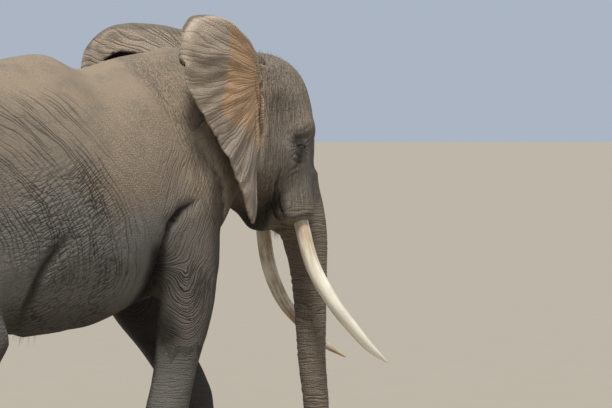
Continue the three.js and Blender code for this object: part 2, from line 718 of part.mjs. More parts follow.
function tuskPoints(side) {
  return TUSK.map((s) => ({
    ...fromHead({
      x: TUSK_LIP.x + s.forward,
      y: side * (TUSK_LIP.y + s.out),
      z: TUSK_LIP.z - s.down,
    }),
    r: s.r,
  }));
}

// How far out from the middle of the head its skin lies at one X and Z.
function headHalfWidth(x, z) {
  let inside = 0;
  let outside = 700;
  while (outside - inside > 0.5) {
    const y = (inside + outside) / 2;
    if (headField({ x, y, z }) < 0) inside = y;
    else outside = y;
  }
  return inside;
}

function eyeSolid(side, extra) {
  const geometry = new THREE.SphereGeometry(EYE.r + extra, 10, 6);
  const y = headHalfWidth(EYE.x, EYE.z) - EYE.sunk;
  const at = fromHead({ x: EYE.x, y: side * y, z: EYE.z });
  geometry.translate(at.x, at.y, at.z);
  return solidOf(geometry);
}

function cutHead() {
  let whole = surfaceNet(flesh, ...HEAD_GRID);
  whole = whole.intersect(headSpace([HEAD_CUT + PART_GAP, -FAR, TRUNK_CUTS[0] + PART_GAP], [FAR, FAR, FAR]));
  for (const [name, side] of [["right", RIGHT], ["left", LEFT]]) {
    const points = tuskPoints(side);
    whole = whole.subtract(taperedTube(points, 10, 13, FIT_GAP));
    addNode("tusk_" + name, taperedTube(points, 10, 13), "ivory");
    whole = whole.subtract(eyeSolid(side, FIT_GAP));
    addNode("eye_" + name, eyeSolid(side, 0), "eye");
  }
  addNode("head", whole, "skin");
}

// The free trunk, in three lengths of the field's own column.
function cutTrunk() {
  const [top, upper, middle] = TRUNK_CUTS;
  const lengths = {
    upper: [upper + PART_GAP, top, 6],
    middle: [middle + PART_GAP, upper, 5],
    lower: [TRUNK[0].z, middle, 5],
  };
  for (const [name, [low, high, steps]] of Object.entries(lengths))
    addNode("trunk_" + name, columnTube(TRUNK, levelsBetween(low, high, steps), 14, fromHead), "skin");
}

// ---------------------------------------------------------------- ears

for (const ear of EARS) ear.crestAt = profile(ear.crest, "w", "z");
const earHem = profile(EAR_HEM, "w", "z");
const EAR_STEPS = { reach: 9, height: 11 };

// The ear's middle surface, at reach w from the root and share v up from the hem. It swings back
// along an arc from one spread angle to another; past the crest the rim folds over backwards.
function earPoint(ear, w, v) {
  const a0 = THREE.MathUtils.degToRad(ear.from);
  const a1 = THREE.MathUtils.degToRad(ear.to);
  const t = w / EAR_REACH;
  const bend = a1 - a0;
  const reach = w * ear.reach;
  const half = (bend * t) / 2;
  const chord = abs(half) < 1e-6 ? 1 : sin(half) / half;
  const along = a0 + half;
  const here = a0 + bend * t;
  const crest = ear.crestAt(w);
  const hem = earHem(w);
  const flap = EAR_FLAP * sin(PI * min(max((t - 0.08) / 0.9, 0), 1)) ** 0.6;
  const rise = max(crest - hem - EAR_CURL, 10);
  const s = v * (rise + PI * EAR_CURL + flap);
  const fold = min(max(s - rise, 0) / EAR_CURL, PI);
  const hang = max(s - rise - PI * EAR_CURL, 0);
  const z = hem + min(s, rise) + EAR_CURL * sin(fold) - hang;
  const back = EAR_CURL * (1 - cos(fold)) + hang * 0.12;
  return {
    x: EAR_ROOT.x - reach * chord * cos(along) - back * sin(here),
    y: ear.side * (EAR_ROOT.y + reach * chord * sin(along) - back * cos(here)),
    z,
  };
}

function earSolid(ear) {
  const { reach, height } = EAR_STEPS;
  const point = (i, j) => {
    const w = EAR_REACH * (i / reach);
    const at = (wi, vi) => new THREE.Vector3().copy(earPoint(ear, wi, vi));
    const v = j / height;
    const here = at(w, v);
    const du = at(w + 4, v).sub(at(w - 4, v));
    const dv = at(w, v + 0.004).sub(at(w, v - 0.004));
    return { here, normal: du.cross(dv).normalize() };
  };
  const front = [];
  const back = [];
  for (let j = 0; j <= height; j++)
    for (let i = 0; i <= reach; i++) {
      const { here, normal } = point(i, j);
      const thick = mix(EAR_THICK.root, EAR_THICK.rim, min(1, 1.5 * (i / reach)));
      front.push(here.clone().addScaledVector(normal, thick / 2));
      back.push(here.clone().addScaledVector(normal, -thick / 2));
    }
  const points = [...front, ...back].map((p) => fromHead(p));
  const faces = [];
  const wide = reach + 1;
  const offset = front.length;
  const both = (a, b, c, d) => {
    faces.push([a, b, c], [a, c, d]);
    faces.push([offset + a, offset + c, offset + b], [offset + a, offset + d, offset + c]);
  };
  for (let j = 0; j < height; j++)
    for (let i = 0; i < reach; i++)
      both(j * wide + i, j * wide + i + 1, (j + 1) * wide + i + 1, (j + 1) * wide + i);
  const rim = [];
  for (let i = 0; i < reach; i++) rim.push(i);
  for (let j = 0; j < height; j++) rim.push(j * wide + reach);
  for (let i = reach; i > 0; i--) rim.push(height * wide + i);
  for (let j = height; j > 0; j--) rim.push(j * wide);
  rim.forEach((a, i) => {
    const b = rim[(i + 1) % rim.length];
    faces.push([a, offset + a, offset + b], [a, offset + b, b]);
  });
  const solid = solidFrom(points, faces);
  return solid.volume() < 0 ? solidFrom(points, faces.map(([a, b, c]) => [a, c, b])) : solid;
}

function cutEars() {
  const clear = surfaceNet(aroundFlesh, ...HEAD_GRID);
  for (const ear of EARS) {
    const pieces = earSolid(ear).subtract(clear).decompose();
    pieces.sort((a, b) => b.volume() - a.volume());
    addNode(ear.name, pieces[0], "skin");
  }
}

// ---------------------------------------------------------------- tail

function cutTail() {
  const points = TAIL.map((s) => ({ ...s, y: 0 }));
  const clear = surfaceNet(aroundFlesh, ...BODY_GRID);
  addNode("tail", taperedTube(points, 8, 9).subtract(clear), "skin");
  const { top, bottom, x, rx, ry } = TAIL_TUFT;
  const steps = 6;
  const rings = Array.from({ length: steps + 1 }, (_, i) => {
    const t = i / steps;
    const swell = 0.35 + 0.65 * sin(PI * min(0.12 + 0.8 * t, 1));
    return Array.from({ length: 8 }, (_, s) => {
      const a = (2 * PI * s) / 8;
      return { x: x + rx * swell * cos(a), y: ry * swell * sin(a), z: mix(top, bottom, t) };
    });
  });
  const tip = TAIL[TAIL.length - 1];
  const socket = block([-FAR, -FAR, tip.z - PART_GAP], [FAR, FAR, FAR]);
  addNode("tail_tuft", ringSolid(rings).subtract(socket), "hair");
}

cutTorso();
cutLegs();
cutHead();
cutTrunk();
cutEars();
cutTail();

// ---------------------------------------------------------------- the model

const elephant = new THREE.Group();
const bounds = new THREE.Box3();
for (const { name, solid, material } of nodes) {
  const mesh = new THREE.Mesh(geometryOf(solid), materials[material]);
  mesh.name = name;
  elephant.add(mesh);
  bounds.expandByObject(mesh);
}
const middle = bounds.getCenter(new THREE.Vector3());
for (const mesh of elephant.children) mesh.position.set(-middle.x, -middle.y, 0);

export default elephant;
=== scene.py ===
"""A life-size African bush elephant bull, walking: skin, ears, tusks, eyes, nails and tail hair.

Lengths are metres. Shapes are worked out in the body's own frame, with the ground at Z 0, the head
towards +X and the left side towards +Y, and are then moved to the packed frame by ORIGIN.
"""

import math
from functools import reduce

import bpy
import numpy as np
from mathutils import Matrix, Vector


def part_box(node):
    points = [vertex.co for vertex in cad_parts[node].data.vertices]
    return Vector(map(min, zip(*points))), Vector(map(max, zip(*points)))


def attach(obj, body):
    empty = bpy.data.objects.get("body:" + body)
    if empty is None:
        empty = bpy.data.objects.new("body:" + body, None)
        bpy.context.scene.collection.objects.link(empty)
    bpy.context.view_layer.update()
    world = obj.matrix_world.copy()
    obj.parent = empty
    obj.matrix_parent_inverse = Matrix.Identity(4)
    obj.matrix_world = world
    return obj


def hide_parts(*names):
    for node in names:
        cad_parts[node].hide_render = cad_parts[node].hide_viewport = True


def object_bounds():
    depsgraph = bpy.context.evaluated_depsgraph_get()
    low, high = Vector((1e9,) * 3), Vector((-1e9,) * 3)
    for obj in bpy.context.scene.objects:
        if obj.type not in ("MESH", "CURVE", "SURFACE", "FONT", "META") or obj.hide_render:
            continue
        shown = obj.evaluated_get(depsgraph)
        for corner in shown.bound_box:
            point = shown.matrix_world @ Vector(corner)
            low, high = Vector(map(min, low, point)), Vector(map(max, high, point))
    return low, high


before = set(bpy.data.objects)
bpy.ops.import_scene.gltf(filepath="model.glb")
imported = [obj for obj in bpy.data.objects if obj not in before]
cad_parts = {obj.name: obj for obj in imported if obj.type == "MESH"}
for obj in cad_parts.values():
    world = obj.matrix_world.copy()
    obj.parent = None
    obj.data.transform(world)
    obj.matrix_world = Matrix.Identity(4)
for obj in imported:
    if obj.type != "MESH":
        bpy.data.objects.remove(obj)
CAD_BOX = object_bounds()

bl_info = {
    "name": "Museum Elephant",
    "version": (1, 0, 0),
    "blender": (4, 5, 0),
    "location": "3D View > Sidebar > Elephant",
    "description": "Builds the skin, tusks, eyes, nails and hair of a life-size walking elephant",
    "category": "Add Mesh",
}

RIGHT, LEFT = -1, 1
SIDES = (("right", RIGHT), ("left", LEFT))
MM = 0.001

# ---------------------------------------------------------------- the body's own measures

# Torso and neck: X, top line, belly line, half width, share of the depth below the widest level.
TORSO = (
    (-1800, 2300, 2180, 90, 0.5), (-1720, 2560, 1980, 270, 0.5), (-1560, 2790, 1760, 405, 0.48),
    (-1300, 2980, 1560, 500, 0.45), (-950, 3080, 1430, 568, 0.42), (-550, 3105, 1350, 628, 0.41),
    (-150, 3118, 1318, 664, 0.41), (60, 3150, 1318, 668, 0.41), (200, 3144, 1325, 665, 0.41),
    (400, 3064, 1340, 648, 0.42), (560, 3090, 1388, 625, 0.42), (760, 3150, 1472, 588, 0.43),
    (960, 3182, 1530, 545, 0.43), (1140, 3221, 1600, 502, 0.43), (1400, 3150, 1900, 430, 0.46),
    (1560, 3060, 2190, 380, 0.5), (1750, 2980, 2320, 320, 0.5),
)
RIDGE_POWER, BELLY_POWER = 1.75, 2.1  # below 2 the back rises to a blunt ridge

# Leg columns from the sole up: Z, X, Y, half size along X, half size along Y.
LEGS = {
    "foreleg_right": (
        (-40, 800, -375, 235, 215), (90, 800, -375, 228, 208), (240, 808, -378, 182, 170),
        (420, 830, -382, 152, 150), (700, 868, -388, 146, 150), (860, 895, -392, 143, 152),
        (1080, 945, -398, 142, 150), (1300, 995, -400, 168, 165), (1540, 1032, -402, 188, 175),
        (1800, 1038, -398, 212, 175), (1980, 1045, -380, 190, 140), (2150, 1050, -350, 130, 90),
    ),
    "foreleg_left": (
        (-40, 1620, 365, 235, 215), (90, 1620, 365, 228, 208), (240, 1600, 368, 182, 170),
        (450, 1585, 372, 152, 150), (700, 1580, 378, 150, 150), (860, 1545, 382, 160, 152),
        (1080, 1410, 388, 182, 155), (1330, 1215, 395, 208, 168), (1540, 1110, 400, 225, 178),
        (1800, 1120, 400, 235, 178), (1980, 1115, 380, 205, 142), (2150, 1112, 350, 140, 90),
    ),
    "hindleg_right": (
        (-40, -470, -350, 215, 185), (90, -470, -350, 208, 180), (230, -500, -352, 165, 152),
        (420, -575, -356, 142, 134), (620, -615, -360, 146, 136), (900, -630, -368, 186, 155),
        (1150, -645, -378, 250, 178), (1300, -675, -385, 350, 195), (1480, -780, -388, 385, 215),
        (1850, -980, -380, 430, 230), (2050, -1020, -350, 385, 185),
        (2250, -1040, -310, 300, 130),
    ),
    "hindleg_left": (
        (-40, -1330, 350, 215, 185), (90, -1330, 350, 208, 180), (230, -1345, 352, 165, 152),
        (420, -1350, 356, 142, 134), (620, -1300, 360, 146, 136), (900, -1160, 368, 186, 155),
        (1150, -1020, 378, 240, 178), (1300, -990, 385, 300, 195), (1480, -1000, 388, 360, 215),
        (1850, -1060, 380, 430, 230), (2050, -1060, 350, 385, 185), (2250, -1060, 310, 300, 130),
    ),
}

# Rounded masses: X, Y, Z, half sizes along X, Y and Z, and the tilt about Y in degrees.
SHOULDERS = ((1080, 290, 2440, 235, 215, 540, 6), (1045, 345, 1960, 225, 195, 380, 0))
HIPS = ((-1080, 300, 2250, 450, 250, 540, 0), (-1310, 265, 2000, 320, 215, 460, -6))
SKULL = (
    (1790, 0, 2740, 375, 365, 455, 0), (1940, 0, 2800, 262, 285, 340, 8),
    (2020, 0, 2470, 234, 262, 420, 5), (1770, 0, 2400, 262, 292, 285, 0),
)
SKULL_PAIRS = (
    (1790, 255, 2480, 280, 170, 260, 0), (2015, 240, 2680, 130, 90, 95, 20),
    (1690, 275, 2780, 190, 150, 300, 0),
)
TEMPLE = (1870, 450, 2745, 150, 95, 150, 0)
# Round-ended cones: X, Y, Z and radius at each end.
TUSK_SHEATH = ((1980, 200, 2460, 140), (2035, 272, 2110, 100))
POUCH = ((1905, 225, 2380, 110), (1925, 268, 2112, 88))
BROW = ((1945, 322, 2648, 46), (2062, 285, 2682, 50))
JAW = ((1680, 0, 2400, 190), (1880, 0, 2095, 125), (2010, 0, 2020, 55))
SOCKET = ((2028, 275, 2075, 57), (2105, 323, 1735, 60))  # room round a tusk inside its lip
NOSTRIL = (2250, 22, 100, 15, 13, 75, 0)
FRONT_FINGER = ((2290, 0, 150, 28), (2293, 0, 104, 17))
REAR_FINGER = ((2214, 0, 160, 26), (2220, 0, 116, 15))
EYE_RADIUS = 0.024
LID_THICK = 0.012
LID_OPEN = (0.028, 0.0135)  # half length and half height of the opening between the lids
LID_LEAN = (math.cos(math.radians(14)), math.sin(math.radians(14)))  # the front corner is lower
BELLY_SHEATH = ((260, 0, 1400, 70), (20, 0, 1362, 60))

# The trunk in the head's own frame: Z, X, Y, half size along X, half size along Y.
TRUNK = (
    (95, 2255, 0, 50, 58), (200, 2275, 0, 64, 70), (450, 2320, 0, 79, 83), (750, 2312, 0, 90, 92),
    (1050, 2280, 0, 98, 100), (1400, 2267, 0, 112, 114), (1700, 2250, 0, 133, 133),
    (1950, 2208, 0, 170, 163), (2150, 2130, 0, 212, 195), (2350, 2045, 0, 235, 220),
)
HEAD_TURN = math.radians(-6)  # the head's frame is turned about a vertical line through the nape
NAPE_X = 1.5

# Tusk from the lip: forward, down and outward travel, and radius.
TUSK_LIP = (2040, 283, 2015)
TUSK = (
    (-60, -260, -40, 46), (-12, -60, -8, 50), (65, 280, 40, 51), (200, 540, 90, 48),
    (375, 740, 85, 41), (520, 870, 55, 31), (680, 975, 10, 6),
)

# Tail down to the tuft: X, Z and radius.
TAIL = (
    (-1640, 2600, 95), (-1800, 2480, 70), (-1872, 2250, 48), (-1888, 1900, 34), (-1880, 1500, 25),
    (-1868, 1250, 20),
)

# Ear outline: height of the crest and of the hem over the reach from the root.
EAR_CREST = {
    "right": (
        (-150, 3105), (0, 3140), (155, 3200), (260, 3262), (435, 3330), (550, 3374), (685, 3402),
        (820, 3406), (920, 3388), (985, 3330), (1015, 3270), (1035, 3150),
    ),
    "left": (
        (-150, 3150), (0, 3200), (200, 3330), (310, 3360), (415, 3384), (620, 3404), (720, 3400),
        (820, 3378), (900, 3335), (960, 3280), (1015, 3195), (1035, 3090),
    ),
}
EAR_HEM = (
    (-150, 2640), (0, 2600), (70, 2550), (130, 2440), (158, 2250), (185, 2090), (240, 2035),
    (300, 2085), (400, 2235), (520, 2390), (660, 2550), (780, 2675), (880, 2775), (970, 2880),
    (1020, 2960), (1035, 3060),
)
EAR_REACH = 1.035
EAR_ROOT = (1.700, 0.330)
EAR_SET = {"right": (50, 8, 0.90), "left": (60, 20, 0.96)}  # angle at root and rim, reach factor
EAR_CURL = 0.052
EAR_FLAP = 0.150
EAR_THICK = (0.034, 0.014)  # at the root and at the rim
EAR_FAN = (-0.10, 3.02)  # reach and height of the place that an ear's folds fan out from
# Notches in the hem, as reach, depth and width, and holes, as reach, height and radius.
EAR_NOTCHES = ((0.262, 0.075, 0.012), (0.232, 0.05, 0.007), (0.71, 0.022, 0.012))
EAR_HOLES = ((0.905, 2.93, 0.009), (0.64, 2.665, 0.010), (0.372, 2.30, 0.010))


def centre_of(node):
    """Middle of a node's box in the packed frame."""
    low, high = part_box(node)
    return np.array((low + high) / 2)


# The right fore foot stands where its column does, which ties the body's frame to the packed one.
_foot = centre_of("foreleg_right_foot")
ORIGIN = np.array(LEGS["foreleg_right"][0][1:3]) * MM - _foot[:2]


def to_frame(points):
    """Points from the body's own frame in the packed frame."""
    moved = np.array(points, float)
    moved[..., :2] -= ORIGIN
    return moved


# ---------------------------------------------------------------- small maths


def unit(vectors):
    """Vectors of length 1."""
    return vectors / np.maximum(np.linalg.norm(vectors, axis=-1, keepdims=True), 1e-9)


def curve(stations, column, scale=MM):
    """A smooth curve through stations: cubic, with the slope of the chord between the neighbours
    at each knot, tabulated finely and read off in straight steps. The first column is the knot."""
    table = np.array(stations, float)
    t, v = table[:, 0] * MM, table[:, column] * scale
    i = np.arange(len(t))
    a, b = np.maximum(i - 1, 0), np.minimum(i + 1, len(t) - 1)
    slope = (v[b] - v[a]) / (t[b] - t[a])
    q = np.linspace(t[0], t[-1], 40 * len(t))
    n = np.clip(np.searchsorted(t, q, side="right") - 1, 0, len(t) - 2)
    span = t[n + 1] - t[n]
    s = (q - t[n]) / span
    fine = (
        (2 * s**3 - 3 * s**2 + 1) * v[n]
        + (s**3 - 2 * s**2 + s) * span * slope[n]
        + (3 * s**2 - 2 * s**3) * v[n + 1]
        + (s**3 - s**2) * span * slope[n + 1]
    )
    return lambda x: np.interp(x, q, fine)


def step(low, high, value):
    """Rises smoothly from 0 at low to 1 at high."""
    t = np.clip((value - low) / (high - low), 0.0, 1.0)
    return t * t * (3 - 2 * t)


def bump(value, middle, width):
    """A bell of height 1 at the middle, down to about a third at one width away."""
    return np.exp(-(((value - middle) / width) ** 2))


def window(value, low, high, soft):
    """1 between low and high, falling off over a soft edge outside them."""
    return step(low - soft, low, value) * step(high + soft, high, value)


def most(*parts):
    """The greatest of several arrays, point by point."""
    return reduce(np.maximum, parts)


def smooth_min(a, b, k):
    """The lesser of two distances, with the corner between them filled over a width k."""
    return np.minimum(a, b) - np.maximum(k - np.abs(a - b), 0.0) ** 2 / (4 * k)


def smooth_max(a, b, k):
    """The greater of two distances, with the corner between them rounded over a width k."""
    return -smooth_min(-a, -b, k)


def turned(u, v, angle):
    """Two coordinates turned by an angle, from the first axis towards the second."""
    c, s = math.cos(angle), math.sin(angle)
    return c * u - s * v, s * u + c * v


HASH_STEPS = (374761393, 668265263, 2147483647)  # large primes, one for each axis
HASH_SEED, HASH_MIX = 144665, 1274126177


def value_noise(x, y, z, size, seed=0):
    """Smooth noise from -1 to 1: random values at the corners of cubes of the given size, blended
    inside each cube by smooth steps. The values come from a hash of the corner's whole numbers."""
    q = np.stack((x, y, z)) / size
    cell = np.floor(q).astype(np.int64)
    f = q - cell
    f = f * f * (3 - 2 * f)
    total = np.zeros(np.shape(x))
    for corner in range(8):
        i, j, k = corner & 1, corner >> 1 & 1, corner >> 2
        h = sum((c + up) * prime for c, up, prime in zip(cell, (i, j, k), HASH_STEPS))
        h = (h + seed * HASH_SEED) & 0xFFFFFFFF
        h = ((h ^ (h >> 13)) * HASH_MIX) & 0xFFFFFFFF
        h = ((h ^ (h >> 16)) & 0xFFFF) / 32767.5 - 1
        weight = (f[0] if i else 1 - f[0]) * (f[1] if j else 1 - f[1]) * (f[2] if k else 1 - f[2])
        total = total + weight * h
    return total


# ---------------------------------------------------------------- distance fields, negative inside


def ellipse(u, v, ru, rv):
    """Distance from an ellipse of half sizes ru and rv, nearly true close to it."""
    k0 = np.hypot(u / ru, v / rv)
    k1 = np.hypot(u / ru**2, v / rv**2)
    return k0 * (k0 - 1) / np.maximum(k1, 1e-9)


def ellipsoid(x, y, z, mass):
    """Distance from an ellipsoid turned about Y by its tilt, nose down."""
    cx, cy, cz, rx, ry, rz = np.array(mass[:6]) * MM
    a = math.radians(mass[6])
    dx, dz = x - cx, z - cz
    u = (dx * math.cos(a) - dz * math.sin(a)) / rx
    v = (y - cy) / ry
    w = (dx * math.sin(a) + dz * math.cos(a)) / rz
    k0 = np.sqrt(u * u + v * v + w * w)
    k1 = np.sqrt((u / rx) ** 2 + (v / ry) ** 2 + (w / rz) ** 2)
    return k0 * (k0 - 1) / np.maximum(k1, 1e-9)


def bone(x, y, z, a, b):
    """Distance from a round-ended cone between two balls."""
    a, b = np.array(a) * MM, np.array(b) * MM
    ab = b[:3] - a[:3]
    px, py, pz = x - a[0], y - a[1], z - a[2]
    t = np.clip((px * ab[0] + py * ab[1] + pz * ab[2]) / (ab @ ab), 0, 1)
    away = np.sqrt((px - t * ab[0]) ** 2 + (py - t * ab[1]) ** 2 + (pz - t * ab[2]) ** 2)
    return away - (a[3] + (b[3] - a[3]) * t)


def column(stations):
    """A column of ellipses along Z, rounded over past its last stations."""
    at_x, at_y, at_rx, at_ry = (curve(stations, i) for i in (1, 2, 3, 4))
    low, high = stations[0][0] * MM, stations[-1][0] * MM

    def field(x, y, z):
        level = np.clip(z, low, high)
        across = ellipse(x - at_x(level), y - at_y(level), at_rx(level), at_ry(level))
        past = np.abs(z - level)
        beyond = np.hypot(np.maximum(across, 0), past) + np.minimum(across + past, 0)
        return np.where(past > 0, beyond, across)

    return field


TORSO_TOP, TORSO_BOTTOM, TORSO_HALF = (curve(TORSO, i) for i in (1, 2, 3))
TORSO_LOW = curve(TORSO, 4, 1.0)
LEG_FIELDS = {name: column(stations) for name, stations in LEGS.items()}
TRUNK_FIELD = column(TRUNK)
TRUNK_AT = tuple(curve(TRUNK, i) for i in (1, 3, 4))
FAR_AWAY = 9.0


def torso(x, y, z):
    """At each X an egg of two half curves |u|^p + |w|^p = 1, the upper one drawn to a ridge."""
    near = np.clip(x, TORSO[0][0] * MM, TORSO[-1][0] * MM)
    top, bottom, half = TORSO_TOP(near), TORSO_BOTTOM(near), TORSO_HALF(near)
    middle = bottom + (top - bottom) * TORSO_LOW(near)
    up = z > middle
    u = np.abs(y) / half
    w = np.abs(z - middle) / np.where(up, top - middle, middle - bottom)
    power = np.where(up, 2 + (RIDGE_POWER - 2) * np.minimum(w, 1), BELLY_POWER)
    k = (u**power + w**power) ** (1 / power)
    size = np.where(k < 1e-6, 1.0, np.hypot(y, z - middle) / np.maximum(k, 1e-6))
    across = (k - 1) * np.minimum(size, 0.9)
    past = np.abs(x - near)
    return np.where(past > 0, np.hypot(np.maximum(across, 0), past), across)


def some(where, field, *at):
    """A field worked out only where it can matter; far away elsewhere."""
    d = np.full(at[0].shape, FAR_AWAY)
    d[where] = field(*(a[where] for a in at))
    return d


def masses(x, y, z, shapes, width):
    """Several ellipsoids grown together over a width."""
    d = ellipsoid(x, y, z, shapes[0])
    for shape in shapes[1:]:
        d = smooth_min(d, ellipsoid(x, y, z, shape), width)
    return d


# Width over which each part grows into the rest, in metres.
BLEND = {
    "mass": 0.14, "shoulder": 0.13, "hip": 0.15, "leg": 0.11, "belly_sheath": 0.06, "head": 0.15,
    "ear": 0.085, "tail": 0.12, "tail_joint": 0.03, "sole": 0.03, "skull": 0.12, "cheek": 0.11,
    "temple": 0.09, "pouch": 0.08, "tusk_sheath": 0.05, "brow": 0.035, "jaw": 0.09, "chin": 0.06,
    "trunk": 0.11, "finger": 0.02, "nostril": 0.012, "socket": 0.02, "lids": 0.045,
    "lid_edge": 0.006,
}


def body_field(x, y, z):
    """Torso, shoulders, hips, legs and belly sheath, grown together, on flat soles."""
    d = torso(x, y, z)
    q = np.abs(y)
    shoulders = some(x > 0.5, lambda *p: masses(*p, SHOULDERS, BLEND["mass"]), x, q, z)
    hips = some(x < -0.4, lambda *p: masses(*p, HIPS, BLEND["mass"]), x, q, z)
    d = smooth_min(smooth_min(d, shoulders, BLEND["shoulder"]), hips, BLEND["hip"])
    for name, field in LEG_FIELDS.items():
        side = RIGHT if name.endswith("right") else LEFT
        fore = x > 0.2 if name.startswith("fore") else x < 0.2
        near = fore & (z < 2.5) & (side * y > -0.1)
        d = smooth_min(d, some(near, field, x, y, z), BLEND["leg"])
    return smooth_min(d, bone(x, y, z, *BELLY_SHEATH), BLEND["belly_sheath"])


def into_head(x, y):
    """X and Y in the head's own frame."""
    c, s = math.cos(-HEAD_TURN), math.sin(-HEAD_TURN)
    return NAPE_X + (x - NAPE_X) * c - y * s, (x - NAPE_X) * s + y * c


def from_head(points):
    """Points of the head's own frame in the body's frame."""
    c, s = math.cos(HEAD_TURN), math.sin(HEAD_TURN)
    p = np.array(points, float)
    dx, dy = p[..., 0] - NAPE_X, p[..., 1].copy()
    p[..., 0] = NAPE_X + dx * c - dy * s
    p[..., 1] = dx * s + dy * c
    return p


def eye_place():
    """Middle of an eye in the head's frame, for the left side."""
    x, y, z = centre_of("eye_left") + (*ORIGIN, 0)
    hx, hy = into_head(x, y)
    return hx, abs(hy), z


EYE_PLACE = eye_place()


def head_field(x, y, z):
    """Skull, temples, tusk sheaths, jaw and trunk, in the head's own frame."""
    q = np.abs(y)
    d = masses(x, y, z, SKULL, BLEND["skull"])
    for shape in SKULL_PAIRS:
        d = smooth_min(d, ellipsoid(x, q, z, shape), BLEND["cheek"])
    d = smooth_max(d, -ellipsoid(x, q, z, TEMPLE), BLEND["temple"])
    sheath = smooth_min(bone(x, q, z, *TUSK_SHEATH), bone(x, q, z, *POUCH), BLEND["pouch"])
    d = smooth_min(d, sheath, BLEND["tusk_sheath"])
    d = smooth_min(d, bone(x, q, z, *BROW), BLEND["brow"])
    d = smooth_min(d, bone(x, y, z, JAW[0], JAW[1]), BLEND["jaw"])
    d = smooth_min(d, bone(x, y, z, JAW[1], JAW[2]), BLEND["chin"])
    d = smooth_min(d, TRUNK_FIELD(x, y, z), BLEND["trunk"])
    for finger in (FRONT_FINGER, REAR_FINGER):
        d = smooth_min(d, bone(x, y, z, *finger), BLEND["finger"])
    d = smooth_max(d, -ellipsoid(x, q, z, NOSTRIL), BLEND["nostril"])
    d = smooth_max(d, -bone(x, q, z, *SOCKET), BLEND["socket"])
    return lidded(d, x, q, z)


def lidded(d, x, q, z):
    """A mound of thick lids round each eye, with an almond opening down to the eyeball."""
    ex, ey, ez = EYE_PLACE
    u, v, w = x - ex, q - ey, z - ez
    mound = np.sqrt(u * u + (1.15 * v) ** 2 + w * w) - EYE_RADIUS - LID_THICK
    d = smooth_min(d, mound, BLEND["lids"])
    along = (u * LID_LEAN[0] - w * LID_LEAN[1]) / LID_OPEN[0]
    across = (u * LID_LEAN[1] + w * LID_LEAN[0]) / LID_OPEN[1]
    opening = (np.sqrt(along**2 + across**2 + ((v - 0.022) / 0.034) ** 2) - 1) * LID_OPEN[1]
    return smooth_max(d, -opening, BLEND["lid_edge"])


# ---------------------------------------------------------------- ears


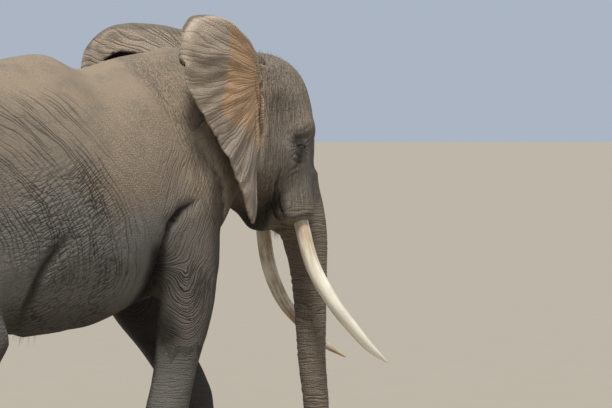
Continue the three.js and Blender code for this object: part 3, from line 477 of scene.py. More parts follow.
class Ear:
    """One ear, as a sheet that swings back along an arc. Its own coordinates are the reach along
    the arc, the height and the distance out from the sheet."""

    CELL = 0.008

    def __init__(self, name, side):
        start, end, factor = EAR_SET[name]
        self.side = side
        self.a0, self.a1 = math.radians(start), math.radians(end)
        self.length = EAR_REACH * factor
        self.radius = self.length / (self.a0 - self.a1)
        self.centre = (
            EAR_ROOT[0] - self.radius * math.sin(self.a0),
            EAR_ROOT[1] - self.radius * math.cos(self.a0),
        )
        self.factor = factor
        self.crest = curve(EAR_CREST[name], 1)
        self.hem = curve(EAR_HEM, 1)
        self.outline = self.outline_table(name)

    def outline_table(self, name):
        """Signed distance from the ear's outline on a grid of reach and height, negative inside."""
        seed = 3 if name == "right" else 4
        w = np.linspace(-0.15, EAR_REACH, 260)
        flat = np.zeros_like(w)
        crest = self.crest(w)
        ragged = step(0.12, 0.3, w)
        hem = self.hem(w)
        hem = hem + ragged * 0.010 * value_noise(w, flat, flat, 0.075, seed)
        hem = hem + ragged * 0.005 * value_noise(w, flat, flat, 0.028, seed + 5)
        for at, deep, wide in EAR_NOTCHES:
            hem = hem + deep * bump(w, at, wide)
        s = w * self.factor
        ring_s = np.concatenate((s, s[::-1]))
        ring_z = np.concatenate((crest, hem[::-1]))
        self.grid_s = np.arange(-0.16, self.length + 0.12, self.CELL)
        self.grid_z = np.arange(1.95, 3.50, self.CELL)
        gs, gz = np.meshgrid(self.grid_s, self.grid_z, indexing="ij")
        away = np.full(gs.shape, FAR_AWAY)
        for a_s, a_z, b_s, b_z in zip(ring_s, ring_z, np.roll(ring_s, -1), np.roll(ring_z, -1)):
            es, ez = b_s - a_s, b_z - a_z
            t = np.clip(((gs - a_s) * es + (gz - a_z) * ez) / max(es * es + ez * ez, 1e-12), 0, 1)
            away = np.minimum(away, np.hypot(gs - a_s - t * es, gz - a_z - t * ez))
        inside = (gz < np.interp(gs, s, crest)) & (gz > np.interp(gs, s, hem)) & (gs < s[-1])
        table = np.where(inside, -away, away)
        for hole_s, hole_z, r in EAR_HOLES:
            table = np.maximum(table, r - np.hypot(gs - hole_s * self.factor, gz - hole_z))
        return table

    def read(self, s, z):
        """The outline table between its grid points."""
        i = np.clip((s - self.grid_s[0]) / self.CELL, 0, len(self.grid_s) - 1.001)
        j = np.clip((z - self.grid_z[0]) / self.CELL, 0, len(self.grid_z) - 1.001)
        i0, j0 = i.astype(int), j.astype(int)
        fi, fj = i - i0, j - j0
        t = self.outline
        low = t[i0, j0] * (1 - fj) + t[i0, j0 + 1] * fj
        high = t[i0 + 1, j0] * (1 - fj) + t[i0 + 1, j0 + 1] * fj
        return low * (1 - fi) + high * fi

    def coordinates(self, x, y):
        """Reach along the arc and distance out from the sheet, from a place in the head's frame."""
        dx, dy = x - self.centre[0], self.side * y - self.centre[1]
        angle = np.arctan2(dx, dy)
        return (self.a0 - angle) * self.radius, np.hypot(dx, dy) - self.radius

    def ripple(self, s, z):
        """Soft folds that fan out from the root to the rim, and one slow wave."""
        fan = np.arctan2(z - EAR_FAN[1], s - EAR_FAN[0])
        far = step(0.15, 0.75, np.hypot(s, z - EAR_FAN[1]))
        folds = np.sin(15 * fan + 2.5 * value_noise(s, z, 0 * s, 0.3, 7))
        finer = np.sin(38 * fan + 4 * value_noise(s, z, 0 * s, 0.2, 8))
        slow = np.sin(2 * math.pi * (z - 2.2) / 0.9 + 2 * s)
        pleats = np.sin(2 * math.pi * (s - 0.22 * (z - 2.6) * step(2.5, 3.1, z)) / 0.060)
        pleats = pleats * window(s, 0.0, 0.15, 0.04) * window(z, 2.60, 3.02, 0.15)
        fans = far * (0.009 * folds + 0.005 * finer + 0.012 * slow * step(0.2, 0.8, s))
        return fans + 0.011 * pleats

    def place(self, s, z, d):
        """Points of the head's own frame, from reach, height and distance out."""
        angle = self.a0 - s / self.radius
        r = self.radius + d
        x = self.centre[0] + r * np.sin(angle)
        y = self.side * (self.centre[1] + r * np.cos(angle))
        return np.stack((x, y, z), axis=-1)

    def thickness(self, s):
        """Thick at the root, thin at the rim."""
        root, rim = EAR_THICK
        return root + (rim - root) * np.clip(1.5 * s / self.length, 0, 1)

    def sheet(self, s, z, d):
        """A sheet up to the outline, whose upper rim turns over backwards in a half round and
        hangs down behind. Worked out in the ear's own coordinates, where it is nearly flat."""
        o = self.read(s, z)
        d = d - self.ripple(s, z)
        w = s / self.factor
        up = (z - self.hem(w)) / (self.crest(w) - self.hem(w) + 0.05)
        rolled = step(0.25, 0.42, up) * step(-0.02, 0.2, w)
        r = np.maximum(EAR_CURL * rolled, 1e-4)
        along = np.clip((w / EAR_REACH - 0.08) / 0.9, 0, 1)
        flap = EAR_FLAP * rolled * np.sin(np.pi * along) ** 0.6
        rim = o + r
        flat = np.hypot(d, np.maximum(rim, 0))
        roll = np.abs(np.hypot(d + r, rim) - r)
        roll = np.where(rim > 0, roll, np.hypot(roll, rim))
        hang = np.hypot(d + 2 * r - 0.12 * np.minimum(rim, 0), np.maximum(-rim - flap, 0))
        hang = np.where(rim > 0, np.hypot(hang, rim), hang)
        away = np.where(rolled > 0.02, np.minimum(flat, np.minimum(roll, hang)), flat)
        return away - self.thickness(s) / 2

    def root(self, x, y, z):
        """The stout root of the ear in the head's frame: it tapers into the sheet by its edge."""
        s, d = self.coordinates(x, y)
        half = EAR_THICK[0] / 2 + 0.030 - 0.30 * np.clip(s, -0.1, 0.15)
        end = np.maximum(s - 0.11, self.read(s, z) + 0.055)
        end = smooth_max(end, 0.7 * (2.68 - z), 0.10)
        return smooth_max(np.abs(d - self.ripple(s, z)) - half, end, 0.03)


EARS = {name: Ear(name, side) for name, side in SIDES}


# ---------------------------------------------------------------- the whole skin


def tail_field(x, y, z):
    """The tail, a chain of cones grown together."""
    balls = [(tx, 0, tz, r) for tx, tz, r in TAIL]
    d = bone(x, y, z, balls[0], balls[1])
    for a, b in zip(balls[1:], balls[2:]):
        d = smooth_min(d, bone(x, y, z, a, b), BLEND["tail_joint"])
    return d


def skin_field(x, y, z):
    """All the flesh but the ears' blades as one smooth distance field."""
    d = body_field(x, y, z)
    hx, hy = into_head(x, y)
    d = smooth_min(d, some(x > 1.0, head_field, hx, hy, z), BLEND["head"])
    for ear in EARS.values():
        near = (hx > 1.3) & (hx < 2.0) & (ear.side * hy > 0.05) & (z > 1.95)
        d = smooth_min(d, some(near, ear.root, hx, hy, z), BLEND["ear"])
    d = smooth_min(d, some(x < -1.4, tail_field, x, y, z), BLEND["tail"])
    return smooth_max(d, -z, BLEND["sole"])


# ---------------------------------------------------------------- from a field to a skin


COARSE = 1.0


def spaced(stops):
    """Grid lines, each stretch with its own spacing: (start, spacing) pairs, then the end."""
    lines = [np.arange(a, b, size * COARSE) for (a, size), (b, _) in zip(stops, stops[1:])]
    return np.concatenate(lines + [[stops[-1][0]]])


def sample(field, axes):
    """A field on a grid of three axes, exact near the surface and with the right sign elsewhere.
    Blocks of 8, 4 and 2 lines are tried first, and only those near the surface are split."""
    size = [len(a) for a in axes]
    near, value = None, None
    for width, reach in ((8, 0.17), (4, 0.085), (2, 0.045), (1, 0.0)):
        shape = tuple(-(-n // width) for n in size)
        middles = []
        for axis, n in zip(axes, size):
            first = np.arange(0, n, width)
            middles.append((axis[first] + axis[np.minimum(first + width - 1, n - 1)]) / 2)
        if near is None:
            near, value = np.ones(shape, bool), np.empty(shape, np.float32)
        else:
            for axis in range(3):
                near, value = near.repeat(2, axis), value.repeat(2, axis)
            near = near[: shape[0], : shape[1], : shape[2]].copy()
            value = value[: shape[0], : shape[1], : shape[2]].copy()
        i, j, k = np.nonzero(near)
        exact = field(middles[0][i], middles[1][j], middles[2][k])
        value[i, j, k] = exact
        near[i, j, k] = np.abs(exact) < reach
    return value


def surface_net(field, axes):
    """Points and four-sided faces of the zero surface: one point in each grid cell that it crosses,
    at the middle of its crossings, and one face round each crossed grid edge, facing out."""
    value = sample(field, axes)
    inside = value < 0
    n = value.shape
    cell_ids, places, quads = [], [], []
    for axis in range(3):
        u, w = (axis + 1) % 3, (axis + 2) % 3
        here = [slice(None)] * 3
        there = [slice(None)] * 3
        here[axis], there[axis] = slice(0, -1), slice(1, None)
        here, there = tuple(here), tuple(there)
        ijk = np.array(np.nonzero(inside[here] != inside[there]))
        v0 = value[here][tuple(ijk)].astype(float)
        v1 = value[there][tuple(ijk)].astype(float)
        t = v0 / (v0 - v1)
        place = np.array([a[i] for a, i in zip(axes, ijk)])
        along = axes[axis]
        place[axis] = along[ijk[axis]] + t * (along[ijk[axis] + 1] - along[ijk[axis]])
        ring = []
        for du, dw in ((1, 1), (0, 1), (0, 0), (1, 0)):
            cell = ijk.copy()
            cell[u] -= du
            cell[w] -= dw
            ring.append((cell[0] * n[1] + cell[1]) * n[2] + cell[2])
        ring = np.array(ring)
        flip = v0 > 0
        ring[:, flip] = ring[::-1, flip]
        quads.append(ring.T)
        cell_ids.append(ring.ravel())
        places.append(np.concatenate([place] * 4, axis=1))
    ids = np.concatenate(cell_ids)
    places = np.concatenate(places, axis=1)
    cells, index = np.unique(ids, return_inverse=True)
    count = np.bincount(index)
    points = np.stack([np.bincount(index, weights=p) / count for p in places], axis=1)
    faces = np.searchsorted(cells, np.concatenate(quads))
    return points, faces


def gradient(field, points, h=0.002):
    """Slope of a field at points, by differences either side."""
    x, y, z = points.T
    rises = (
        field(x + h, y, z) - field(x - h, y, z),
        field(x, y + h, z) - field(x, y - h, z),
        field(x, y, z + h) - field(x, y, z - h),
    )
    return np.stack(rises, axis=1) / (2 * h)


def settle(field, points, longest, steps=2):
    """Walks points onto the zero surface along the field's slope, a short way at a time."""
    for _ in range(steps):
        slope = gradient(field, points)
        steep = np.maximum((slope**2).sum(1), 0.25)
        walk = np.clip(field(*points.T), -longest, longest) / steep
        points = points - walk[:, None] * slope
    return points


def new_object(name, data):
    """An object in the scene."""
    obj = bpy.data.objects.new(name, data)
    bpy.context.scene.collection.objects.link(obj)
    return obj


def new_mesh(name, points, faces):
    """A smooth mesh object from points of the packed frame and faces, all given as arrays."""
    mesh = bpy.data.meshes.new(name)
    mesh.from_pydata(points, [], faces)
    mesh.polygons.foreach_set("use_smooth", np.ones(len(mesh.polygons), bool))
    return new_object(name, mesh)


def read_all(items, key, kind, width):
    """One value of every item of a mesh, as rows of an array."""
    flat = np.empty(len(items) * width, kind)
    items.foreach_get(key, flat)
    return flat.reshape(-1, width)


def thinned(points, faces, spare, triangles):
    """Points and faces with fewer triangles, taken mostly where spare is near 1 and where the
    surface is flat, by collapsing short edges."""
    obj = new_mesh("thinning", points, faces)
    group = obj.vertex_groups.new(name="spare")
    for level in range(1, 11):
        chosen = np.nonzero(np.round(spare * 10).astype(int) == level)[0]
        group.add(chosen.tolist(), level / 10, "ADD")
    modifier = obj.modifiers.new("thin", "DECIMATE")
    modifier.ratio = triangles / (2 * len(faces))
    modifier.vertex_group = group.name
    modifier.vertex_group_factor = 1.0
    evaluated = obj.evaluated_get(bpy.context.evaluated_depsgraph_get())
    mesh = bpy.data.meshes.new_from_object(evaluated)
    mesh.calc_loop_triangles()
    thin_points = read_all(mesh.vertices, "co", np.float32, 3).astype(float)
    corners = read_all(mesh.loop_triangles, "vertices", np.int32, 3)
    full = obj.data
    bpy.data.objects.remove(obj)
    bpy.data.meshes.remove(full)
    bpy.data.meshes.remove(mesh)
    return thin_points, corners


# ---------------------------------------------------------------- folds worked into the skin


def line_distance(u, v, route):
    """Distance in a plane from a broken line, and how far along it the nearest place is, 0 to 1."""
    route = np.array(route, float)
    away, along = np.full(np.shape(u), FAR_AWAY), np.zeros(np.shape(u))
    pieces = len(route) - 1
    for n in range(pieces):
        a, b = route[n], route[n + 1]
        e = b - a
        t = np.clip(((u - a[0]) * e[0] + (v - a[1]) * e[1]) / (e @ e), 0, 1)
        d = np.hypot(u - a[0] - t * e[0], v - a[1] - t * e[1])
        nearer = d < away
        away = np.where(nearer, d, away)
        along = np.where(nearer, (n + t) / pieces, along)
    return away, along


# Creases on the flanks: side, depth, half width and route of X and Z; deepest past their middle.
FLANK_CREASES = (
    (
        RIGHT, 60, 24,
        (
            (1003, 2194), (891, 2130), (800, 2026), (758, 1849), (770, 1650), (800, 1460),
            (835, 1330),
        ),
    ),
    (
        RIGHT, 34, 42,
        ((-10, 1959), (-106, 1890), (-170, 1800), (-207, 1700), (-226, 1503), (-190, 1400)),
    ),
    (RIGHT, 8, 20, ((1081, 2723), (1130, 2590), (1182, 2457))),
    (RIGHT, 6, 18, ((1010, 2700), (1065, 2540), (1110, 2400))),
    (LEFT, 44, 32, ((1010, 2194), (900, 2130), (830, 2026), (800, 1849), (835, 1650), (880, 1560))),
    (LEFT, 30, 42, ((-480, 1990), (-560, 1900), (-610, 1800), (-640, 1650), (-640, 1480))),
    (LEFT, 8, 20, ((1100, 2723), (1150, 2590), (1200, 2457))),
    (RIGHT, 12, 40, ((-1650, 2050), (-1500, 1750), (-1330, 1600))),
    (LEFT, 12, 40, ((-1720, 2050), (-1600, 1750), (-1480, 1500))),
)
# Creases of the head, alike on both sides, in its own frame.
HEAD_CREASES = (
    (((1806, 2373), (1800, 2285), (1829, 2215), (1845, 2110), (1880, 2035)), 32, 14),
    (((1850, 2400), (1835, 2300), (1852, 2230)), 12, 9),
    (((1740, 2330), (1760, 2240), (1800, 2150)), 14, 14),
    (((1662, 2985), (1640, 2900), (1646, 2780), (1655, 2600)), 26, 11),
    (((1596, 2961), (1612, 2860), (1634, 2740), (1652, 2600)), 24, 10),
    (((1690, 2900), (1678, 2780), (1672, 2640)), 12, 10),
    (((2060, 2610), (2000, 2600), (1935, 2575)), 17, 30),
    (((2075, 2690), (2010, 2650), (1950, 2640)), 7, 9),
    (((2040, 2490), (1985, 2475), (1925, 2500), (1890, 2550)), 8, 10),
    (((2035, 2440), (1975, 2430), (1900, 2455), (1862, 2520)), 7, 11),
    (((1975, 2420), (1900, 2390), (1850, 2330)), 8, 11),
    (((1960, 2370), (1890, 2345), (1840, 2290)), 7, 10),
)


def groove(turns, sharp=0.16):
    """A row of narrow grooves, one for each whole turn: 1 at the bottom of each."""
    off = turns - np.round(turns)
    return np.exp(-((off / sharp) ** 2))


def flank_folds(x, y, z, facing):
    """Depth of the creases pressed into flanks, thighs, armpits and elbow, and soft unevenness."""
    wander = 0.012 * value_noise(x, y, z, 0.11, 21)
    deep = np.zeros_like(x)
    for side, depth, width, route in FLANK_CREASES:
        away, along = line_distance(x, z, np.array(route) * MM)
        share = np.sin(np.pi * (0.12 + 0.76 * along)) * step(0.0, 0.35, side * facing)
        cut = np.exp(-(((away + wander) / (width * MM)) ** 2)) * share * (side * y > 0)
        deep = np.maximum(deep, depth * MM * cut)
    lump = 0.006 * value_noise(x, y, z, 0.30, 31) + 0.003 * value_noise(x, y, z, 0.11, 32)
    return deep - lump


def head_folds(x, y, z, facing):
    """Depth of the creases of the face, in the head's own frame, and of the rings of the trunk."""
    deep = np.zeros_like(x)
    q = np.abs(y)
    wander = 0.006 * value_noise(x, y, z, 0.05, 22)
    for route, depth, width in HEAD_CREASES:
        away, along = line_distance(x, z, np.array(route) * MM)
        share = np.sin(np.pi * (0.10 + 0.80 * along)) * step(0.0, 0.4, np.sign(y) * facing)
        cut = np.exp(-(((away + wander) / (width * MM)) ** 2)) * share * step(0.08, 0.16, q)
        deep = np.maximum(deep, depth * MM * cut)
    ex, ey, ez = EYE_PLACE
    off_x, off_z = x - ex, z - ez
    from_eye = np.sqrt(off_x**2 + (q - ey) ** 2 + off_z**2)
    rays = groove(9 * np.arctan2(off_z, -off_x) / math.pi + 30 * wander, 0.22)
    deep = deep + 0.005 * rays * step(0.034, 0.050, from_eye) * step(0.15, 0.07, from_eye)
    middle = TRUNK_AT[0](z)
    behind = 0.5 + 0.5 * np.clip((middle - x) / np.maximum(TRUNK_AT[1](z), 0.04), -1, 1)
    on_trunk = step(2.20, 1.95, z) * (x > middle - 0.30)
    turns = z / 0.043 + 0.45 * value_noise(x, y, z, 0.12, 23)
    turns = turns + 0.15 * value_noise(x, y, z, 0.04, 24)
    size = (0.0025 + 0.0075 * behind**2) * (0.75 + 0.5 * value_noise(x, y, z, 0.16, 25))
    size = size * (0.45 + 0.55 * step(0.2, 0.9, z))
    return deep + on_trunk * size * groove(turns, 0.24)


def leg_folds(x, y, z):
    """Depth of the rings about ankles and wrists."""
    low = step(0.18, 0.27, z) * step(0.50, 0.36, z)
    knee = step(0.72, 0.80, z) * step(1.04, 0.94, z)
    turns = z / 0.036 + 0.5 * value_noise(x, y, z, 0.10, 26)
    return 0.0045 * groove(turns, 0.24) * np.maximum(low, 0.6 * knee) * (x < 1.95)


def pressed(points, facing):
    """Depth of all creases at points of the skin whose normals have this Y part."""
    x, y, z = points.T
    deep = flank_folds(x, y, z, facing) * step(1.75, 1.5, x) * step(0.25, 0.5, z)
    deep = deep + leg_folds(x, y, z) + nail_fold(x, y, z)
    hx, hy = into_head(x, y)
    head = (hx > 1.55) & (z > 0.05) & ((z > 1.85) | (hx > 2.0))
    deep[head] += head_folds(hx[head], hy[head], z[head], facing[head])
    return deep * step(0.0, 0.05, z)


def folded(points):
    """The skin's points with its folds pressed in along the surface's own slope."""
    normal = unit(gradient(skin_field, points))
    return points - normal * pressed(points, normal[:, 1])[:, None]


# ---------------------------------------------------------------- skin

BODY_GRID = (
    ((-1.97, 0.016), (1.35, 0.009), (1.93, 0.006), (2.06, 0.009), (2.80, 0)),
    ((-0.78, 0.014), (-0.56, 0.010), (0.42, 0.014), (1.06, 0)),
    ((-0.03, 0.0115), (1.90, 0.010), (2.48, 0.006), (2.62, 0.010), (3.45, 0)),
)
EAR_GRID = (0.0095, 0.0095, 0.0035)
BODY_TRIANGLES, EAR_TRIANGLES = 135000, 26000


def body_skin():
    """Points and faces of the skin of torso, legs, head, trunk and tail."""
    axes = [spaced(stops) for stops in BODY_GRID]
    points, faces = surface_net(skin_field, axes)
    points = folded(settle(skin_field, points, 0.005))
    face_part = step(1.3, 1.6, points[:, 0]) * step(1.75, 1.95, points[:, 2])
    trunk_part = step(1.9, 2.1, points[:, 0])
    spare = 1 - 0.85 * np.maximum(face_part, 0.8 * trunk_part)
    return thinned(points, faces, 0.2 * spare, BODY_TRIANGLES / COARSE)


def ear_skin(ear):
    """Points and faces of one ear's blade, netted in the ear's own coordinates."""
    ds, dz, dd = EAR_GRID
    axes = [
        np.arange(-0.13, ear.length + 0.04, ds * COARSE),
        np.arange(1.98, 3.46, dz * COARSE),
        np.arange(-0.20, 0.06, dd),
    ]
    points, faces = surface_net(ear.sheet, axes)
    points = settle(ear.sheet, points, 0.002)
    points = from_head(ear.place(*points.T))
    if ear.side == RIGHT:
        faces = faces[:, ::-1]
    return thinned(points, faces, np.full(len(points), 0.5), EAR_TRIANGLES / COARSE)


# ---------------------------------------------------------------- the painted layers of the skin
# Each lie is a set of three coordinates in metres: along its wrinkles, across them and through the
# body. Where two lies never meet they share a layer.

HIP_CENTRE = (-1.63, 1.59)  # the long folds of the flank ring this place
ELBOWS = {RIGHT: (0.935, 1.73), LEFT: (1.02, 1.84)}
TEAR_TRACK = ((1.990, 2.535), (1.968, 2.48), (1.950, 2.42))  # X and Z in the head's frame
ARMPIT = ((0.72, 1.95), (0.74, 1.65), (0.77, 1.46), (0.83, 1.30))  # X and Z of the hollow's line
HIDE_CELL = (0.10, 0.020)  # length and width of a wrinkle's cell in the shared lies


def hip_lie(x, y, z):
    """Rings about the hip, drawn a little short along X."""
    u, w = 0.82 * (x - HIP_CENTRE[0]), z - HIP_CENTRE[1]
    return np.stack((1.25 * np.arctan2(w, u), np.hypot(u, w), y), 1)


def rising_lie(x, y, z):
    """Level at the hip and rising ever more steeply towards the ribs."""
    ahead = np.clip(x + 0.7, 0.0, 0.85)
    rise = 0.07 * (x + 0.7) + 0.347 * ahead**2 + 0.55 * np.maximum(x - 0.15, 0)
    return np.stack((x, z - rise, y), 1)


def arm_lie(x, y, z):
    """Slanting up and forward over the shoulder, in nested loops round the point of the elbow."""
    cx = np.where(y < 0, ELBOWS[RIGHT][0], ELBOWS[LEFT][0])
    cz = np.where(y < 0, ELBOWS[RIGHT][1], ELBOWS[LEFT][1])
    u, w = x - cx, z - cz
    slant = 0.84 * u - 0.40 * w
    loops = np.hypot(u / 0.42, w) - 0.05
    return np.stack((0.5 * u + 0.84 * w, slant + (loops - slant) * step(0.10, -0.12, w), y), 1)


def upright_lie(x, y, z):
    """Upright on the face, leaning back along the neck."""
    lean = 0.36 * step(1.75, 1.25, x)
    across = (x + lean * (z - 2.5)) * 1.4
    return np.stack((z, across, 1.4 * y), 1)


def ring_lie(x, y, z):
    """Level rings, on the trunk and at the wrists and ankles."""
    return np.stack((x, z, y), 1)


def ear_lie(s, z):
    """Round the fan of an ear's folds, and across them."""
    u, w = s - EAR_FAN[0], z - EAR_FAN[1]
    return np.stack((0.4 * np.hypot(u, w), 0.42 * np.arctan2(w, u), 0 * s), 1)


def ear_layers(hx, hy, z, drift):
    """Of the ears at each point: presence, lie, mud, hem, depth in the pleats by the root, painted
    as shade, and painted shade on the inner face and under the turned-over rim.
    """
    layers = {key: np.zeros_like(hx) for key in ("ear", "mud", "hem", "pleat", "inner", "under")}
    lie = np.zeros((len(hx), 3))
    for ear in EARS.values():
        s, d = ear.coordinates(hx, hy)
        o = ear.read(s, z)
        on = window(s, 0.12, ear.length + 0.05, 0.05) * window(d, -0.17, 0.07, 0.02)
        on = on * step(0.07, 0.04, o) * (ear.side * hy > 0)
        mine = on > layers["ear"]
        lie[mine] = ear_lie(s, z)[mine]
        w = s / ear.factor
        fan = np.arctan2(z - EAR_FAN[1], w - EAR_FAN[0])
        streak = 0.05 * value_noise(9 * fan, 2 * w, 0 * w, 1.0, 51)
        low = step(2.85, 2.55, z)
        near, far = 0.20 + 0.08 * step(2.8, 3.2, z), 0.60 - 0.16 * low
        mud = window(w + 0.6 * drift + streak, near, far, 0.08)
        mud = mud * window(z + 0.9 * drift + streak, 2.66, 3.36, 0.10) * step(-0.03, -0.005, d)
        # Painted shade in the valleys of the pleats by the root.
        pleat = step(0.0, -0.010, ear.ripple(s, z)) * window(w, -0.02, 0.16, 0.04)
        values = {
            "ear": on,
            "mud": np.maximum(mud, 0.5 * window(w, 0.12, 0.24, 0.05) * window(z, 2.6, 3.1, 0.1)),
            "hem": 0.35 + 0.35 * step(-0.030, -0.004, o) + 0.65 * step(3.05, 3.33, z + drift),
            "pleat": pleat * window(z, 2.60, 3.02, 0.08),
            # Painted shade on the ear's inner face and under its turned-over rim.
            "inner": step(-0.02, -0.04, d),
            "under": window(d - ear.ripple(s, z), -0.05, 0.0, 0.006)
            * step(-0.06, -0.10, o)
            * step(2.8, 3.0, z),
        }
        for key, value in values.items():
            layers[key] = np.where(mine, value * np.minimum(on * 2, 1), layers[key])
    return layers, lie


def dust_on(x, z, drift, top, neck, face, on_trunk, body, ear):
    """Dry dust: on back, shoulder, neck, brow, trunk and ears, most where the skin faces up."""
    gold = window(x + drift, 0.35, 1.15, 0.35) * step(1.95, 2.55, z + 1.5 * drift)
    flank_top = step(1.95, 2.55, z + 1.5 * drift)
    dust = np.clip(0.75 * top + 0.65 * gold + 0.28 * flank_top + 0.55 * neck, 0, 1)
    dust = dust * step(1.85, 1.45, x)
    dust = dust + 0.55 * face * step(2.45, 2.85, z + drift) + 0.55 * on_trunk
    return np.clip(dust * body + ear * (0.70 + 0.30 * step(3.0, 3.3, z)), 0, 1)


def hollows(x, y, z, hx, ny, drift, body):
    """Masks for painted shade: the corner of the mouth, the throat, and the skin of the legs that
    faces the other leg, in the body's shadow.
    """
    mouth = window(hx, 1.56, 1.84, 0.08) * window(z + 0.5 * drift, 1.80, 2.10, 0.16)
    mouth = mouth * (0.3 + 0.7 * body)
    throat = window(x, 1.18, 1.56, 0.10) * step(2.42, 2.20, z + 0.3 * (x - 1.4))
    throat = throat * step(1.6, 1.75, z)
    inward = step(0.25, -0.35, ny * np.sign(y)) * step(1.85, 1.60, z) * (x < 1.97)
    return mouth, throat, inward * (np.abs(y) > 0.08)


def wet_and_shade_on(hx, q, z, drift):
    """Darker, glossier skin: round the lids, where the dark is partly painted shade under the brow,
    in the bag under each eye, along the tear's track and on the soles.
    """
    ex, _, ez = EYE_PLACE
    track, _ = line_distance(hx, z, TEAR_TRACK)
    lids = np.hypot(hx - ex + 0.018 + 0.3 * drift, z - ez - 0.028)
    bag = np.hypot(hx - ex + 0.022 + 0.3 * drift, 0.7 * (z - ez + 0.085))
    wet_and_shade = most(1.5 * bump(lids, 0, 0.055), 1.1 * bump(bag, 0, 0.034), 0.8 * bump(track, 0, 0.018))
    return np.maximum(np.clip(wet_and_shade, 0, 1) * step(0.15, 0.2, q), step(0.012, 0.004, np.abs(z)))


def skin_layout(points, normals):
    """The skin's painted layers at each point: the lies of its wrinkles, how strongly each
    family of wrinkles and each tone shows there, and where painted shade darkens it."""
    x, y, z = points.T
    ny, nz = normals[:, 1], normals[:, 2]
    hx, hy = into_head(x, y)
    drift = 0.11 * value_noise(x, y, z, 0.45, 41) + 0.05 * value_noise(x, y, z, 0.16, 42)
    ears, ear_at = ear_layers(hx, hy, z, drift)
    ear, body = ears["ear"], 1 - np.minimum(1.5 * ears["ear"], 1)

    thigh = step(0.1, -0.3, x + drift) * step(2.0, 1.7, z)
    side = step(0.12, 0.55, np.abs(ny))
    hip = window(x, -1.5, 0.55, 0.3) * window(z + drift, 1.72, 2.72, 0.30) * side
    hip = hip * (0.35 + 0.65 * window(x + 0.45 * (z - 2.2) + drift, -0.60, 0.35, 0.3))
    rise = step(0.62, 0.22, x + drift) * window(z + drift, 1.22, 2.26, 0.28)
    rise = rise * (0.5 + 0.6 * step(-0.5, -0.1, x))
    arm = window(x, 0.78, 1.24, 0.14) * window(z + drift, 1.22, 2.45, 0.2) * side
    arm = arm * (0.65 + 0.9 * window(z, 1.38, 1.74, 0.10) * window(x, 0.78, 1.12, 0.12))
    neck = window(x + 0.36 * (z - 2.5), 0.98, 1.62, 0.14) * window(z, 1.85, 3.15, 0.15)
    on_trunk = step(1.86, 1.94, hx) * step(2.24, 2.0, z)
    face = step(1.52, 1.70, hx) * step(1.93, 2.12, z) * (1 - 0.9 * on_trunk)
    leg = step(1.40, 1.10, z) * step(1.97, 1.9, x)
    rings = np.maximum(on_trunk, leg * (0.45 + 0.55 * window(z, 0.18, 0.46, 0.08)))
    on_arm = (arm > 0.02) & (ear <= 0.3) & (z > 1.2)
    shared = np.where((ear > 0.3)[:, None], ear_at, ring_lie(x, y, z))
    shared = np.where(on_arm[:, None], arm_lie(x, y, z), shared)
    shared_size = most(arm * body, rings * body * ~on_arm, 0.60 * ear)

    top = step(0.15, 0.85, nz)
    mouth, throat, inward = hollows(x, y, z, hx, ny, drift, body)
    cool = step(2.45, 2.0, z + drift) * step(1.05, 0.6, x + drift) * body
    # Painted shade: the belly's underside, the corner of the mouth, the legs' inner faces in the
    # body's shadow, the lower shoulder and upper arm, a band of the face and the ears' inner faces.
    dark = most(
        0.9 * step(1.64, 1.40, z) * step(0.25, -0.35, nz) * body * (np.abs(x) < 1.6),
        mouth,
        0.9 * inward * body,
        0.65 * window(x, 0.74, 1.40, 0.12) * step(2.25, 1.85, z + drift) * step(0.6, 1.2, z),
        0.25 * face * step(2.75, 2.60, z) * step(2.2, 2.4, z),
        0.9 * ears["inner"] * step(0.1, 0.5, np.abs(nz)),
    )
    # Painted shade in the hollow behind the foreleg.
    behind, _ = line_distance(x + 0.04 * (y > 0), z, ARMPIT)
    armpit = bump(behind, 0, 0.095) * step(0.69, 0.60, np.abs(y)) * step(1.98, 1.84, z)
    # Painted shade in hollows: the deep creases, partly dirt there, the armpit, the mouth, the
    # throat, under the ears' rims, the legs' inner faces and the ears' pleats.
    hollow_shade_and_dirt = most(
        np.clip(pressed(points, ny) / 0.030, 0, 1),
        1.25 * armpit,
        0.8 * mouth,
        0.7 * throat * body,
        ears["under"],
        0.95 * inward * body * step(0.75, 1.15, z) * (x > 0),
        0.5 * inward * body,
        0.85 * ears["pleat"],
    )
    pebble = 0.5 + 0.5 * step(-0.06, 0.08, drift)
    pebble = pebble * (1 - 0.55 * np.clip(0.8 * top + neck + 0.6 * face, 0, 1))
    dust = dust_on(x, z, drift, top, neck, face, on_trunk, body, ear)
    cool = most(cool, leg * body, ear * step(2.75, 2.35, z + 2 * drift))
    wet_and_shade = wet_and_shade_on(hx, np.abs(hy), z, drift)
    return {
        "lie_hip": hip_lie(x, y, z),
        "lie_rising": rising_lie(x, y, z),
        "lie_upright": upright_lie(x, y, z),
        "lie_shared": shared,
        "folds": np.stack((hip * body * (1 - 0.5 * thigh), rise * body, shared_size), 1),
        # The third part of relief is painted shade in hollows and creases, partly dirt in the
        # creases.
        "relief": np.stack(
            (np.maximum(0.85 * neck, face) * body, np.maximum(pebble, 0.55 * ear), hollow_shade_and_dirt), 1
        ),
        "tones": np.stack((dust, ears["mud"], cool), 1),
        # Of marks, the second is wet skin with painted shade round the eyes, the third is painted
        # shade.
        "marks": np.stack((ears["hem"], wet_and_shade, dark), 1),
    }


def lay_on(mesh, layers):
    """Puts arrays of three numbers for each point on a mesh, as vector attributes."""
    for name, values in layers.items():
        layer = mesh.attributes.new(name, "FLOAT_VECTOR", "POINT")
        layer.data.foreach_set("vector", np.ascontiguousarray(values, np.float32).ravel())


# ---------------------------------------------------------------- shader helpers


